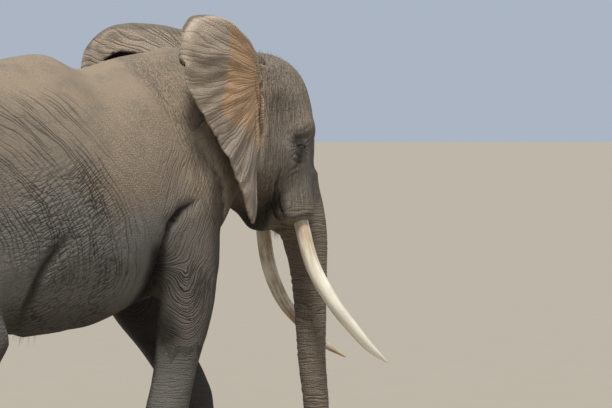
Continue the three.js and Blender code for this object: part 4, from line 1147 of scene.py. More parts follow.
class Wiring:
    """Adds nodes to a tree and joins them up in one call."""

    def __init__(self, tree):
        self.tree = tree

    def give(self, socket, value):
        """Links a socket to another, or sets its value."""
        if isinstance(value, bpy.types.NodeSocket):
            self.tree.links.new(value, socket)
        else:
            if not isinstance(value, (int, float)) and len(socket.default_value) == 4 > len(value):
                value = (*value, 1.0)
            socket.default_value = value

    def node(self, kind, inputs=None, **settings):
        """A node with its settings, and its inputs given as values or as sockets."""
        made = self.tree.nodes.new(kind)
        for key, value in settings.items():
            setattr(made, key, value)
        for key, value in (inputs or {}).items():
            self.give(made.inputs[key], value)
        return made

    def maths(self, operation, a, b=0.0):
        """One sum on two numbers."""
        return self.node("ShaderNodeMath", {0: a, 1: b}, operation=operation).outputs[0]

    def times(self, a, b):
        """The product of two numbers."""
        return self.maths("MULTIPLY", a, b)

    def plus(self, a, b):
        """The sum of two numbers."""
        return self.maths("ADD", a, b)

    def minus(self, a, b):
        """The difference of two numbers."""
        return self.maths("SUBTRACT", a, b)

    def most(self, a, b):
        """The greater of two numbers."""
        return self.maths("MAXIMUM", a, b)

    def vectors(self, operation, a, b):
        """One sum on two vectors."""
        return self.node("ShaderNodeVectorMath", {0: a, 1: b}, operation=operation).outputs[0]

    def scaled(self, vector, scale):
        """A vector made longer or shorter."""
        inputs = {0: vector, "Scale": scale}
        return self.node("ShaderNodeVectorMath", inputs, operation="SCALE").outputs[0]

    def mixed(self, share, a, b):
        """Two colours mixed."""
        made = self.node("ShaderNodeMix", {0: share, 6: a, 7: b}, data_type="RGBA")
        return made.outputs[2]

    def place(self):
        """The place on the object."""
        return self.node("ShaderNodeTexCoord").outputs["Object"]

    def layer(self, name):
        """One of the mesh's own layers, as a vector."""
        return self.node("ShaderNodeAttribute", attribute_name=name).outputs["Vector"]

    def parts(self, name):
        """The three numbers of one of the mesh's own layers."""
        return self.node("ShaderNodeSeparateXYZ", {0: self.layer(name)}).outputs

    def ramp(self, value, low, high):
        """A smooth step between two values."""
        inputs = {"Value": value, "From Min": low, "From Max": high}
        made = self.node("ShaderNodeMapRange", inputs, interpolation_type="SMOOTHSTEP")
        return made.outputs["Result"]

    def noise(self, place, scale, detail=2.0):
        """Plain noise, from 0 to 1, and as a colour."""
        inputs = {"Vector": place, "Scale": scale, "Detail": detail, "Roughness": 0.6}
        return self.node("ShaderNodeTexNoise", inputs).outputs

    def surface(self, shader, colour, roughness, height=None):
        """Gives a shader its colour, its roughness and the height of its relief, in metres."""
        self.give(shader.inputs["Base Color"], colour)
        self.give(shader.inputs["Roughness"], roughness)
        if height is not None:
            inputs = {"Height": height, "Distance": 1.0, "Strength": 1.0}
            normal = self.node("ShaderNodeBump", inputs)
            self.give(shader.inputs["Normal"], normal.outputs["Normal"])

    def use(self, tree, inputs):
        """The outputs of a shader group whose inputs are given in their order."""
        return self.node("ShaderNodeGroup", dict(enumerate(inputs)), node_tree=tree).outputs


def shared_group(name, inputs, outputs, fill):
    """A shader group with named sockets, made once and then shared. Inputs are (name, kind,
    default); fill gets the wiring and both ends."""
    if name in bpy.data.node_groups:
        return bpy.data.node_groups[name]
    group = bpy.data.node_groups.new(name, "ShaderNodeTree")
    for label, kind, default in inputs:
        socket = group.interface.new_socket(label, in_out="INPUT", socket_type="NodeSocket" + kind)
        if default is not None:
            socket.default_value = default
    for label, kind in outputs:
        group.interface.new_socket(label, in_out="OUTPUT", socket_type="NodeSocket" + kind)
    w = Wiring(group)
    fill(w, w.node("NodeGroupInput").outputs, w.node("NodeGroupOutput").inputs)
    return group


CREASE_INPUTS = (
    ("Lie", "Vector", None),
    ("Stray", "Vector", None),
    ("Cell", "Vector", (0.1, 0.03, 0.1)),
    ("Groove", "Float", 0.12),
    ("Strength", "Float", 1.0),
    ("Depth", "Float", 0.004),
)


def wrinkle_group(name, grooves):
    """A shader group that draws wrinkles along a lie. Depth is how far the surface sinks, in
    metres, and Line marks the bottoms of the grooves. The function grooves works out both, the
    depth as a share of the full one."""

    def fill(w, given, out):
        place = w.vectors("DIVIDE", w.vectors("ADD", given["Lie"], given["Stray"]), given["Cell"])
        deep, line = grooves(w, place, given)
        w.give(out["Depth"], w.times(deep, given["Depth"]))
        w.give(out["Line"], line)

    return shared_group(name, CREASE_INPUTS, (("Depth", "Float"), ("Line", "Float")), fill)


def creases():
    """Leather parted by creases: long cells laid along a lie, with narrow grooves between them."""

    def grooves(w, place, given):
        inputs = {"Vector": place, "Scale": 1.0, "Randomness": 0.85}
        net = w.node("ShaderNodeTexVoronoi", inputs, feature="DISTANCE_TO_EDGE").outputs["Distance"]
        line = w.times(w.minus(1.0, w.ramp(net, 0.0, given["Groove"])), given["Strength"])
        side = w.times(w.times(w.minus(1.0, w.ramp(net, 0.0, 0.42)), 0.5), given["Strength"])
        return w.plus(side, w.times(line, 0.5)), line

    return wrinkle_group("creases", grooves)


def pleats():
    """Leather gathered in long grooves that run side by side along a lie, and fade in and out."""

    def grooves(w, place, given):
        wander = w.noise(place, 0.45, 1.0)["Fac"]
        across = w.node("ShaderNodeSeparateXYZ", {0: place}).outputs[1]
        off = w.maths("PINGPONG", w.plus(across, w.times(wander, 3.5)), 0.5)
        fade = w.noise(w.vectors("ADD", place, (9.0, 9.0, 9.0)), 0.75, 0.0)["Fac"]
        strength = w.times(w.ramp(fade, 0.22, 0.50), given["Strength"])
        line = w.times(w.minus(1.0, w.ramp(off, 0.0, given["Groove"])), strength)
        side = w.times(w.minus(1.0, w.ramp(off, 0.0, 0.5)), strength)
        return w.times(w.plus(side, line), 0.5), line

    return wrinkle_group("pleats", grooves)


def new_material(name):
    """A material, the wiring of its tree and its shader."""
    material = bpy.data.materials.new(name)
    material.use_nodes = True
    return material, Wiring(material.node_tree), material.node_tree.nodes["Principled BSDF"]


def hide_material(look):
    """Dusty grey hide with creases, ringed trunk and ochre mud on the ears, with painted shade in
    its wrinkles, creases and hollows, on the belly's underside and on the backs of the ears.
    The wrinkles are seven nets of cells or of pleats, laid along the lies of the painted layers."""
    material, w, shader = new_material("hide")
    place = w.place()
    folds, relief, tones, marks = (w.parts(n) for n in ("folds", "relief", "tones", "marks"))
    coarse = w.vectors("SUBTRACT", w.noise(place, 4.0, 1.0)["Color"], (0.5, 0.5, 0.5))
    close = w.vectors("SUBTRACT", w.noise(place, 17.0, 1.0)["Color"], (0.5, 0.5, 0.5))
    patchy = w.ramp(w.noise(place, 2.6, 1.0)["Fac"], 0.32, 0.62)
    patchy = w.plus(w.times(patchy, 0.40), 0.60)
    # Kind of net, lie, wandering, size of a cell, width of a groove, how strong, depth, and the
    # painted shade in the bottoms of its grooves.
    long, wide = HIDE_CELL
    hip, rising, shared, upright = folds[0], folds[1], folds[2], relief[0]
    nets = (
        (pleats, "lie_hip", (0.05, 0.010), (0.20, 0.029, 0.3), 0.18, hip, 0.0095, 0.78),
        (creases, "lie_hip", (0.03, 0.010), (0.09, 0.028, 0.3), 0.13, hip, 0.0030, 0.35),
        (creases, "lie_rising", (0.024, 0.008), (0.08, 0.026, 0.2), 0.14, rising, 0.0075, 0.80),
        (pleats, "lie_shared", (0.03, 0.010), (long, wide, long), 0.17, shared, 0.0075, 0.75),
        (pleats, "lie_upright", (0.03, 0.010), (long, wide, wide), 0.17, upright, 0.0060, 0.70),
        (creases, "lie_upright", (0.02, 0.012), (0.05, 0.03, 0.03), 0.14, upright, 0.0025, 0.40),
        (creases, None, (0.0, 0.014), (0.018, 0.018, 0.015), 0.24, relief[1], 0.0022, 0.45),
    )
    deep, lines = None, None
    for kind, lie, (far, near), cell, width, strength, depth, shade in nets:
        if lie:
            strength = w.times(strength, patchy)
        lie = w.layer(lie) if lie else place
        stray = w.vectors("ADD", w.scaled(coarse, far), w.scaled(close, near))
        made = w.use(kind(), (lie, stray, cell, width, strength, depth))
        shade = w.times(made["Line"], shade)
        deep = made["Depth"] if deep is None else w.plus(deep, made["Depth"])
        lines = shade if lines is None else w.most(lines, shade)

    mottle = w.noise(place, 5.0, 4.0)["Fac"]
    grit = w.noise(place, 70.0, 2.0)["Fac"]
    tone = w.mixed(tones[2], look.warm, look.cool)
    colour = w.mixed(w.times(w.ramp(mottle, 0.35, 0.7), 0.45), tone, look.pale)
    dust = w.times(tones[0], w.ramp(mottle, 0.10, 0.55))
    colour = w.mixed(dust, colour, look.dust)
    colour = w.mixed(w.times(marks[0], 0.8), colour, look.bleached)
    mud = w.times(tones[1], w.ramp(mottle, 0.30, 0.50))
    colour = w.mixed(w.times(mud, 0.85), colour, look.mud)
    # Painted shade on the belly's underside, the legs' inner faces, the mouth's corner, the lower
    # shoulder, a band of the face and the backs of the ears.
    colour = w.mixed(w.times(marks[2], 0.8), colour, look.painted_shade)
    colour = w.mixed(w.times(w.ramp(grit, 0.45, 0.75), 0.22), colour, look.dust)
    # Painted shade in the bottoms of the wrinkles and in creases and hollows, partly dirt in the
    # deep creases, and the darker skin round the eyes.
    crease_shade_and_dirt = w.most(lines, w.times(relief[2], 0.92))
    colour = w.mixed(w.most(crease_shade_and_dirt, w.times(marks[1], 0.95)), colour, look.crease)
    height = w.minus(w.times(grit, 0.0010), deep)
    w.surface(shader, colour, w.minus(0.88, w.times(marks[1], 0.35)), height)
    w.give(shader.inputs["Specular IOR Level"], 0.3)
    return material


# ---------------------------------------------------------------- eyes, tusks and nails


def rings_of(rings, close_first=True, close_last=True):
    """Faces of a tube of closed rings that follow each other in one array of points."""
    count, sides = rings
    s = np.arange(sides)
    faces = []
    for r in range(count - 1):
        a = r * sides + s
        b = r * sides + (s + 1) % sides
        faces.append(np.stack((a, b, b + sides, a + sides), 1))
    faces = [tuple(f) for f in np.concatenate(faces)]
    if close_first:
        faces.append(tuple(s[::-1]))
    if close_last:
        faces.append(tuple((count - 1) * sides + s))
    return faces


def globe(stacks, sides):
    """Unit directions of a ball with a small ring at each pole, and its faces."""
    polar = np.linspace(0.02, math.pi - 0.02, stacks)[:, None]
    around = np.linspace(0, 2 * math.pi, sides, endpoint=False)[None, :]
    wide, up = np.sin(polar), -np.cos(polar) + 0 * around
    ball = np.stack((wide * np.cos(around), wide * np.sin(around), up), -1)
    return ball.reshape(-1, 3), rings_of((stacks, sides))


def joined(name, layer_name, parts):
    """Several (points, faces, layer) parts as one object with one painted layer."""
    points, faces, layers, offset = [], [], [], 0
    for p, f, layer in parts:
        points.append(p)
        layers.append(layer)
        faces += [tuple(int(i) + offset for i in face) for face in f]
        offset += len(p)
    obj = new_mesh(name, np.concatenate(points), faces)
    lay_on(obj.data, {layer_name: np.concatenate(layers)})
    return obj


def build_eyes(look):
    """Two eyeballs with a low swell over the iris. The layer holds the angle from the gaze."""
    parts = []
    for name, side in SIDES:
        ball, faces = globe(44, 48)
        gaze = np.array(from_head((NAPE_X + 0.22, side * 0.95, -0.10))) - from_head((NAPE_X, 0, 0))
        off = np.arccos(np.clip(ball[:, 2], -1, 1))
        swell = EYE_RADIUS * (1 + 0.05 * bump(off, 0, 0.55))
        points = (ball * swell[:, None]) @ rotation_to(unit(gaze)).T + centre_of("eye_" + name)
        parts.append((points, faces, np.stack((off, 0 * off, 0 * off), 1)))
    eyes = joined("eyeballs", "gaze", parts)
    material, w, shader = new_material("eyeball")
    off = w.parts("gaze")[0]
    flecks = w.noise(w.place(), 900.0, 3.0)["Fac"]
    iris = w.mixed(w.ramp(flecks, 0.3, 0.7), look.iris, look.iris_rim)
    colour = w.mixed(w.ramp(off, 0.50, 0.58), iris, look.white)
    colour = w.mixed(w.ramp(off, 0.24, 0.20), colour, look.pupil)
    w.surface(shader, colour, 0.12)
    w.give(shader.inputs["Coat Weight"], 0.6)
    eyes.data.materials.append(material)
    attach(eyes, "root")
    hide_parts("eye_right", "eye_left")


def rotation_to(direction):
    """The turn that takes +Z to a direction, as a matrix."""
    return np.array(Vector(direction).to_track_quat("Z", "Y").to_matrix())


def build_tusks(look):
    """Curved tapering tubes along the tusks' centre lines, with faint rings and flutes. The layer
    holds the share along, the angle round and the side."""
    steps, sides = 150, 48
    parts = []
    table = np.array(TUSK, float)
    line = table[:, :3] * MM
    knots = np.concatenate(([0], np.cumsum(np.linalg.norm(np.diff(line, axis=0), axis=1))))
    stations = np.column_stack((knots / MM, table))
    along = np.linspace(0, 1, steps) ** 0.9 * knots[-1]
    forward, down, out, r = (curve(stations, i)(along) for i in (1, 2, 3, 4))
    r = np.minimum(r, np.sqrt(np.maximum(knots[-1] - along, 0) * 0.030) + 0.0015)
    for _, side in SIDES:
        x, y, z = np.array(TUSK_LIP) * MM
        path = from_head(np.stack((x + forward, side * (y + out), z - down), 1))
        tangent = unit(np.gradient(path, axis=0))
        across = unit(np.cross(tangent, (0, 1.0, 0)))
        third = np.cross(tangent, across)
        angle = np.linspace(0, 2 * math.pi, sides, endpoint=False)
        share = (along / knots[-1])[:, None]
        flute = 1 + 0.008 * np.sin(5 * angle + 3 * share) * (1 - share)
        spread = (r[:, None] * flute)[..., None]
        c, s = np.cos(angle)[:, None], np.sin(angle)[:, None]
        ring = spread * (c * across[:, None] + s * third[:, None])
        points = to_frame(path[:, None] + ring).reshape(-1, 3)
        layer = np.stack(np.broadcast_arrays(share, angle / (2 * math.pi), float(side)), -1)
        parts.append((points, rings_of((steps, sides)), layer.reshape(-1, 3)))
    tusks = joined("tusks", "ivory", parts)
    tusks.data.materials.append(ivory_material(look))
    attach(tusks, "root")
    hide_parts("tusk_right", "tusk_left")


def ivory_material(look):
    """Cream ivory, stained brown by the lip and along the rear, with fine cracks along it."""
    material, w, shader = new_material("ivory")
    along, angle, side = w.parts("ivory")
    turn = w.times(angle, 2 * math.pi)
    grain = w.node("ShaderNodeCombineXYZ", {0: w.times(along, 2.2), 1: w.maths("SINE", turn)})
    w.give(grain.inputs[2], w.maths("COSINE", turn))
    streaks = w.noise(grain.outputs[0], 3.0, 4.0)["Fac"]
    mottle = w.noise(w.place(), 7.0, 4.0)["Fac"]
    inner = w.maths("COSINE", turn)
    rear = w.ramp(w.plus(inner, w.times(mottle, 0.9)), look.rear_edge, 1.5)
    base = w.ramp(w.plus(along, w.times(mottle, -0.25)), 0.42, 0.12)
    stain = w.most(w.times(rear, 0.75), w.times(base, 0.75))
    far = w.ramp(side, 0.0, 0.5)
    stain = w.most(stain, w.times(far, w.ramp(mottle, 0.25, 0.6)))
    stain = w.times(stain, w.ramp(streaks, 0.25, 0.65))
    colour = w.mixed(w.times(w.ramp(streaks, 0.3, 0.8), 0.35), look.cream, look.shade)
    colour = w.mixed(w.times(stain, 0.9), colour, look.stain)
    fine = w.noise(grain.outputs[0], 26.0, 2.0)["Fac"]
    crack = w.ramp(w.maths("ABSOLUTE", w.minus(fine, 0.5)), 0.016, 0.0)
    crack = w.times(crack, w.ramp(mottle, 0.45, 0.7))
    colour = w.mixed(w.times(crack, 0.55), colour, look.stain)
    height = w.times(w.minus(streaks, w.times(crack, 0.8)), 0.0012)
    w.surface(shader, colour, w.plus(0.32, w.times(stain, 0.3)), height)
    return material


NAIL_SIZE = (0.030, 0.062, 0.074)  # depth, half width and half height of a toenail
NAIL_HEIGHT = 0.078
NAIL_SUNK = 0.012
NAIL_LEAN = 0.22
NAIL_SPREAD = {"fore": (4, 118), "hind": (3, 96)}  # how many on a foot, over how many degrees


def nail_places():
    """Each nail's node, middle and turn about Z, in the body's frame."""
    places = []
    for leg, stations in LEGS.items():
        _, x, y, rx, ry = (v * MM for v in stations[1])
        rx, ry = rx - NAIL_SUNK, ry - NAIL_SUNK
        count, spread = NAIL_SPREAD[leg[:4]]
        for n in range(count):
            a = math.radians(-spread / 2 + spread * n / (count - 1))
            at = (x + rx * math.cos(a), y + ry * math.sin(a), NAIL_HEIGHT)
            places.append((leg + "_nail_" + str(n + 1), at, a))
    return places


def nail_fold(x, y, z):
    """Depth of the groove that runs round each nail in the skin."""
    deep = np.zeros_like(x)
    low = np.nonzero(z < 0.22)[0]
    px, py, pz = x[low], y[low], z[low]
    for _, at, a in nail_places():
        u = (px - at[0]) * math.cos(a) + (py - at[1]) * math.sin(a)
        v = (py - at[1]) * math.cos(a) - (px - at[0]) * math.sin(a)
        k = np.sqrt((v / NAIL_SIZE[1]) ** 2 + ((pz - at[2]) / NAIL_SIZE[2]) ** 2)
        deep[low] = np.maximum(deep[low], 0.010 * bump(k, 1.04, 0.14) * (np.abs(u) < 0.09))
    return deep


def build_nails(look):
    """Broad shields round the front of each foot, squarer than a ball and ridged crosswise."""
    parts = []
    for _, at, a in nail_places():
        ball, faces = globe(26, 40)
        square = np.sign(ball) * np.abs(ball) ** 0.82
        ridge = 1 + 0.012 * np.sin(34 * ball[:, 2] + 2 * ball[:, 1])
        shape = square * np.array(NAIL_SIZE) * ridge[:, None] * (1, 0.94, 0.97)
        x, y, z = shape.T
        x, z = turned(x, z, NAIL_LEAN)
        x, y = turned(x, y, a)
        parts.append((to_frame(np.stack((x + at[0], y + at[1], z + at[2]), 1)), faces, ball))
    nails = joined("toenails", "shield", parts)
    material, w, shader = new_material("horn")
    up = w.parts("shield")[2]
    mottle = w.noise(w.place(), 22.0, 4.0)["Fac"]
    bands = w.noise(w.node("ShaderNodeCombineXYZ", {2: up}).outputs[0], 9.0, 3.0)["Fac"]
    colour = w.mixed(w.ramp(bands, 0.3, 0.7), look.horn, look.horn_pale)
    dirt = w.ramp(w.plus(w.times(mottle, 0.9), w.times(up, -0.5)), 0.35, 0.95)
    colour = w.mixed(w.times(dirt, 0.8), colour, look.dirt)
    height = w.times(w.plus(bands, w.times(mottle, 0.5)), 0.002)
    w.surface(shader, colour, w.plus(0.5, w.times(dirt, 0.35)), height)
    nails.data.materials.append(material)
    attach(nails, "root")
    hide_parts(*(node for node, _, _ in nail_places()))


# ---------------------------------------------------------------- hair


PATCH_SIZE = 0.003  # side of a hair's patch of the bake map


def strands(name, roots, flow, drop, length, radius, segments=6):
    """Tapering three-sided hairs in one mesh: each starts at its root along its flow and bends by
    drop, given in metres over its whole length. Each hair's patch of the bake map lies where its
    root does on a side-by-side unwrap of the body."""
    n = len(roots)
    t = np.linspace(0, 1, segments + 1)[None, :, None]
    length = np.reshape(length, (n, 1, 1))
    path = roots[:, None] + flow[:, None] * t * length + drop[:, None] * t**2
    tangent = unit(np.gradient(path, axis=1))
    across = unit(np.cross(tangent, (0.31, 0.87, 0.38)))
    third = np.cross(tangent, across)
    size = np.reshape(radius, (n, 1, 1)) * (1 - 0.85 * t**1.5)
    rings = []
    for a in (0, 2 * math.pi / 3, 4 * math.pi / 3):
        rings.append(path + size * (math.cos(a) * across + math.sin(a) * third))
    points = np.stack(rings, 2).reshape(-1, 3)
    block = (segments + 1) * 3
    one = rings_of((segments + 1, 3))
    faces = [tuple(i + block * h for i in face) for h in range(n) for face in one]
    obj = new_mesh(name, points, faces)
    left = roots[:, 1] > 0
    low, high = CAD_BOX
    u = 0.02 + 0.45 * (roots[:, 0] - low[0]) / (high[0] - low[0]) + 0.5 * left
    v = 0.02 + 0.95 * roots[:, 2] / high[2]
    home = np.repeat(np.stack((u, v), 1), block, 0)
    across_patch = np.tile(np.array((0, 0.5, 1)) * PATCH_SIZE, segments + 1)
    along_patch = np.repeat(t.ravel() * PATCH_SIZE, 3)
    inside = np.tile(np.stack((across_patch, along_patch), 1), (n, 1))
    corner = read_all(obj.data.loops, "vertex_index", np.int32, 1)[:, 0]
    layer = obj.data.uv_layers.new(name="OFBake")
    layer.data.foreach_set("uv", (home + inside)[corner].astype(np.float32).ravel())
    lay_on(obj.data, {"strand": np.repeat(np.stack((u * 37 % 1, v * 53 % 1, 0 * u), 1), block, 0)})
    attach(obj, "root")
    return obj


def hair_material(look):
    """Coarse dark hair, dusty in places."""
    material, w, shader = new_material("bristle")
    own = w.parts("strand")[0]
    colour = w.mixed(w.times(w.ramp(own, 0.3, 1.0), 0.6), look.dark, look.dusty)
    w.surface(shader, colour, 0.45)
    return material


TUFT_TOP, TUFT_END = 1.235, 0.885


def build_tuft(look):
    """The tail's tuft: wiry hair in two flat rows, from the front and rear edges of its end."""
    rng = np.random.default_rng(11)
    n = look.tuft_hairs
    edge = np.where(rng.random(n) < 0.5, -1.0, 1.0)
    z = TUFT_TOP + 0.20 * rng.random(n) ** 1.8
    at = np.array(TAIL[-1]) * MM
    root = np.stack((at[0] + edge * 0.012 * rng.random(n), 0.010 * rng.normal(size=n), z), 1)
    splay = edge * (0.06 + 0.16 * rng.random(n))
    flow = np.stack((splay, 0.05 * rng.normal(size=n), -1 + 0 * z), 1)
    end = TUFT_END + 0.12 * rng.random(n) ** 2 + 0.10 * (z - TUFT_TOP)
    drop = np.stack((-edge * 0.030 * rng.random(n) + 0.008, 0.010 * rng.normal(size=n), 0 * z), 1)
    thick = 0.0011 + 0.0006 * rng.random(n)
    tuft = strands("tail_hair", to_frame(root), unit(flow), drop, z - end, thick, 7)
    tuft.data.materials.append(hair_material(look))
    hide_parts("tail_tuft")


# Sparse hairs: how many, middle and spread of their place, length, and which way they lean.
BRISTLES = (
    (90, (2010, 0, 2010), (45, 45, 30), 42, (0.2, 0, -0.6)),
    (150, (1900, 0, 3120), (120, 130, 60), 26, (0.3, 0, 0.3)),
    (60, (2350, 0, 1500), (20, 70, 250), 16, (0.2, 0, -0.5)),
    (60, (2350, 0, 900), (20, 60, 250), 16, (0.2, 0, -0.5)),
    (16, (30, 0, 1300), (50, 25, 10), 55, (-0.2, 0, -0.8)),
)


def build_bristles(look):
    """Lashes over the eyes and sparse stiff hairs on chin, trunk, crown and belly sheath."""
    rng = np.random.default_rng(12)
    roots, flows, drops, lengths = [], [], [], []
    for side in (RIGHT, LEFT):
        n = look.lashes
        t = np.linspace(-0.9, 0.9, n) + 0.03 * rng.normal(size=n)
        u, w = t * LID_OPEN[0] * 1.05, np.sqrt(np.maximum(1 - t * t, 0)) * LID_OPEN[1] + 0.004
        x = EYE_PLACE[0] + u * LID_LEAN[0] + w * LID_LEAN[1]
        z = EYE_PLACE[2] - u * LID_LEAN[1] + w * LID_LEAN[0]
        roots.append(from_head(np.stack((x, side * (EYE_PLACE[1] + 0.027 + 0 * x), z), 1)))
        lean = -0.35 + 0.1 * rng.normal(size=n)
        flows.append(np.stack((0.5 * t + 0.15, side * (0.75 + 0 * t), lean), 1))
        drops.append(np.stack((0 * t, 0 * t, -0.012 + 0 * t), 1))
        lengths.append(0.034 + 0.014 * rng.random(n))
    for count, middle, spread, size, lean in BRISTLES:
        n = int(count * look.bristle_share)
        at = from_head(np.array(middle) * MM + rng.normal(size=(n, 3)) * np.array(spread) * MM)
        if middle[0] < NAPE_X / MM:  # on the belly, so not turned with the head
            at = np.array(middle) * MM + rng.normal(size=(n, 3)) * np.array(spread) * MM
        at = settle(skin_field, at, 0.2, steps=7)
        slope = unit(gradient(skin_field, at))
        good = np.abs(skin_field(*at.T)) < 0.004
        at, slope = at[good], slope[good]
        roots.append(at - 0.008 * slope)
        flows.append(slope + np.array(lean) + 0.15 * rng.normal(size=at.shape))
        drops.append(np.stack((0 * at[:, 0], 0 * at[:, 0], -0.2 * size * MM + 0 * at[:, 0]), 1))
        lengths.append(size * MM * (0.6 + 0.6 * rng.random(len(at))) + 0.008)
    flow = unit(np.concatenate(flows))
    made = strands(
        "bristles", to_frame(np.concatenate(roots)), flow, np.concatenate(drops),
        np.concatenate(lengths), 0.0007 + 0 * flow[:, 0], 5,
    )
    made.data.materials.append(hair_material(look))


# ---------------------------------------------------------------- the skin piece

FLESH = ("rump", "belly", "chest", "neck", "head", "trunk_", "ear_")
LIMB_PARTS = ("_upper", "_lower", "_foot")


def build_skin(look):
    """One skin of body and ears."""
    parts = [body_skin()] + [ear_skin(ear) for ear in EARS.values()]
    offset = np.cumsum([0] + [len(p) for p, _ in parts[:-1]])
    points = np.concatenate([p for p, _ in parts])
    faces = np.concatenate([f + o for (_, f), o in zip(parts, offset)])
    skin = new_mesh("skin", to_frame(points), faces)
    normals = read_all(skin.data.vertex_normals, "vector", np.float32, 3).astype(float)
    lay_on(skin.data, skin_layout(points, normals))
    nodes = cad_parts
    flesh = [n for n in nodes if n.startswith(FLESH) or n.endswith(LIMB_PARTS) or n == "tail"]
    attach(skin, "root")
    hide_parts(*flesh)
    skin.data.materials.append(hide_material(look))


# ---------------------------------------------------------------- stage

IMAGE_SIZE = (612, 408)
VIEW_AZIMUTH = math.radians(35)
WITHERS_X = 1.14
CAMERA_DISTANCE = 20.0
CAMERA_HEIGHT = 2.59
FOCAL_PIXELS = 2950.0
HORIZON_ROW = 140.0
AXIS_LATERAL = 1.870
FLOOR_REACH = 3000.0


def build_stage(look):
    """Floor, lights and camera."""
    r = FLOOR_REACH
    floor = new_mesh("floor", [(-r, -r, 0), (r, -r, 0), (r, r, 0), (-r, r, 0)], [(0, 1, 2, 3)])
    material, w, shader = new_material("ground")
    mottle = w.noise(w.place(), 2.0, 4.0)["Fac"]
    w.surface(shader, w.mixed(w.times(mottle, 0.2), look.floor, look.floor_dark), 0.95)
    floor.data.materials.append(material)
    right = Vector((math.cos(VIEW_AZIMUTH), -math.sin(VIEW_AZIMUTH), 0))
    ahead = Vector((math.sin(VIEW_AZIMUTH), math.cos(VIEW_AZIMUTH), 0))
    place = Vector((WITHERS_X, 0, 0)) - ahead * CAMERA_DISTANCE
    place += right * (AXIS_LATERAL - place.dot(right))
    place.z = CAMERA_HEIGHT
    place -= Vector((*ORIGIN, 0))
    tilt = math.atan((IMAGE_SIZE[1] / 2 - HORIZON_ROW) / FOCAL_PIXELS)
    forward = ahead * math.cos(tilt) - Vector((0, 0, math.sin(tilt)))
    data = bpy.data.cameras.new("camera")
    data.sensor_width = 36
    data.lens = data.sensor_width * FOCAL_PIXELS / IMAGE_SIZE[0]
    data.clip_end = 2 * FLOOR_REACH
    camera = new_object("camera", data)
    camera.location = place
    camera.rotation_euler = forward.to_track_quat("-Z", "Y").to_euler()
    bpy.context.scene.camera = camera
    world = bpy.data.worlds.new("studio")
    bpy.context.scene.world = world
    world.use_nodes = True
    backdrop = world.node_tree.nodes["Background"].inputs
    backdrop["Color"].default_value = (*look.sky, 1)
    backdrop["Strength"].default_value = look.sky_light
    bpy.context.scene.view_settings.view_transform = "Standard"
    light = bpy.data.lights.new("key", "SUN")
    light.angle = math.radians(look.softness)
    light.energy = look.key_light
    light.color = look.key_colour
    lamp = new_object("key", light)
    lamp.rotation_euler = Vector(look.key_from).to_track_quat("Z", "Y").to_euler()


# ---------------------------------------------------------------- settings, operators and panel


def colour(name, text, value):
    """A colour setting, in linear light."""
    return bpy.props.FloatVectorProperty(
        name=name, description=text, default=value, subtype="COLOR", size=3, min=0, max=1
    )


def number(name, text, value, kind=bpy.props.FloatProperty, **limits):
    """A plain number as a setting."""
    return kind(name=name, description=text, default=value, **limits)


class HideSettings(bpy.types.PropertyGroup):
    """Colours of the hide."""

    warm: colour("Warm Grey", "Neck, shoulder and head", (0.165, 0.143, 0.112))
    cool: colour("Cool Grey", "Lower flank and legs", (0.166, 0.162, 0.150))
    pale: colour("Pale Grey", "Worn lighter patches", (0.235, 0.210, 0.178))
    dust: colour("Dust", "Dry dust on the back, shoulder and ears", (0.285, 0.222, 0.160))
    bleached: colour("Bleached", "Dry rims and backs of the ears", (0.50, 0.405, 0.31))
    mud: colour("Mud", "Ochre mud on the middle of the ears", (0.52, 0.315, 0.165))
    # Painted shade on the belly's underside, the legs' inner faces, the corner of the mouth, the
    # lower shoulder and the backs of the ears.
    painted_shade: colour("PaintedShade", "Underside of the belly and the backs of the ears", (0.060, 0.052, 0.045))
    # Painted shade in wrinkles, creases and hollows and round the eyes, partly dirt in the deep
    # creases.
    crease: colour("Crease", "Bottoms of creases, skin round the eyes", (0.019, 0.016, 0.013))


class PartSettings(bpy.types.PropertyGroup):
    """Colours of tusks, eyes and nails."""

    cream: colour("Ivory", "Clean ivory", (0.93, 0.88, 0.74))
    shade: colour("Ivory Shade", "Darker streaks of clean ivory", (0.68, 0.58, 0.40))
    stain: colour("Ivory Stain", "Stains by the lip and along the rear", (0.36, 0.205, 0.065))
    rear_edge: number("Stain Reach", "Where the rear stain starts; less is wider", 0.8)
    iris: colour("Iris", "Amber of the iris", (0.16, 0.07, 0.02))
    iris_rim: colour("Iris Rim", "Darker brown of the iris", (0.05, 0.022, 0.008))
    pupil: colour("Pupil", "Near black of the pupil", (0.004, 0.004, 0.004))
    white: colour("Eye White", "Dull white of the eye", (0.12, 0.085, 0.06))
    horn: colour("Horn", "Toenails", (0.30, 0.25, 0.18))
    horn_pale: colour("Pale Horn", "Paler bands of the toenails", (0.36, 0.31, 0.235))
    dirt: colour("Dirt", "Dried dirt on the toenails", (0.17, 0.135, 0.10))


class HairSettings(bpy.types.PropertyGroup):
    """Amount and colour of hair."""

    dark: colour("Dark Hair", "Clean hair", (0.012, 0.010, 0.008))
    dusty: colour("Dusty Hair", "Hair with dust on it", (0.07, 0.055, 0.04))
    tuft_hairs: number("Tuft Hairs", "Hairs of the tail's tuft", 420, bpy.props.IntProperty, min=50)
    lashes: number("Lashes", "Lashes of each eye", 34, bpy.props.IntProperty, min=4)
    bristle_share: number("Bristles", "Share of the usual number of bristles", 1.0, min=0)


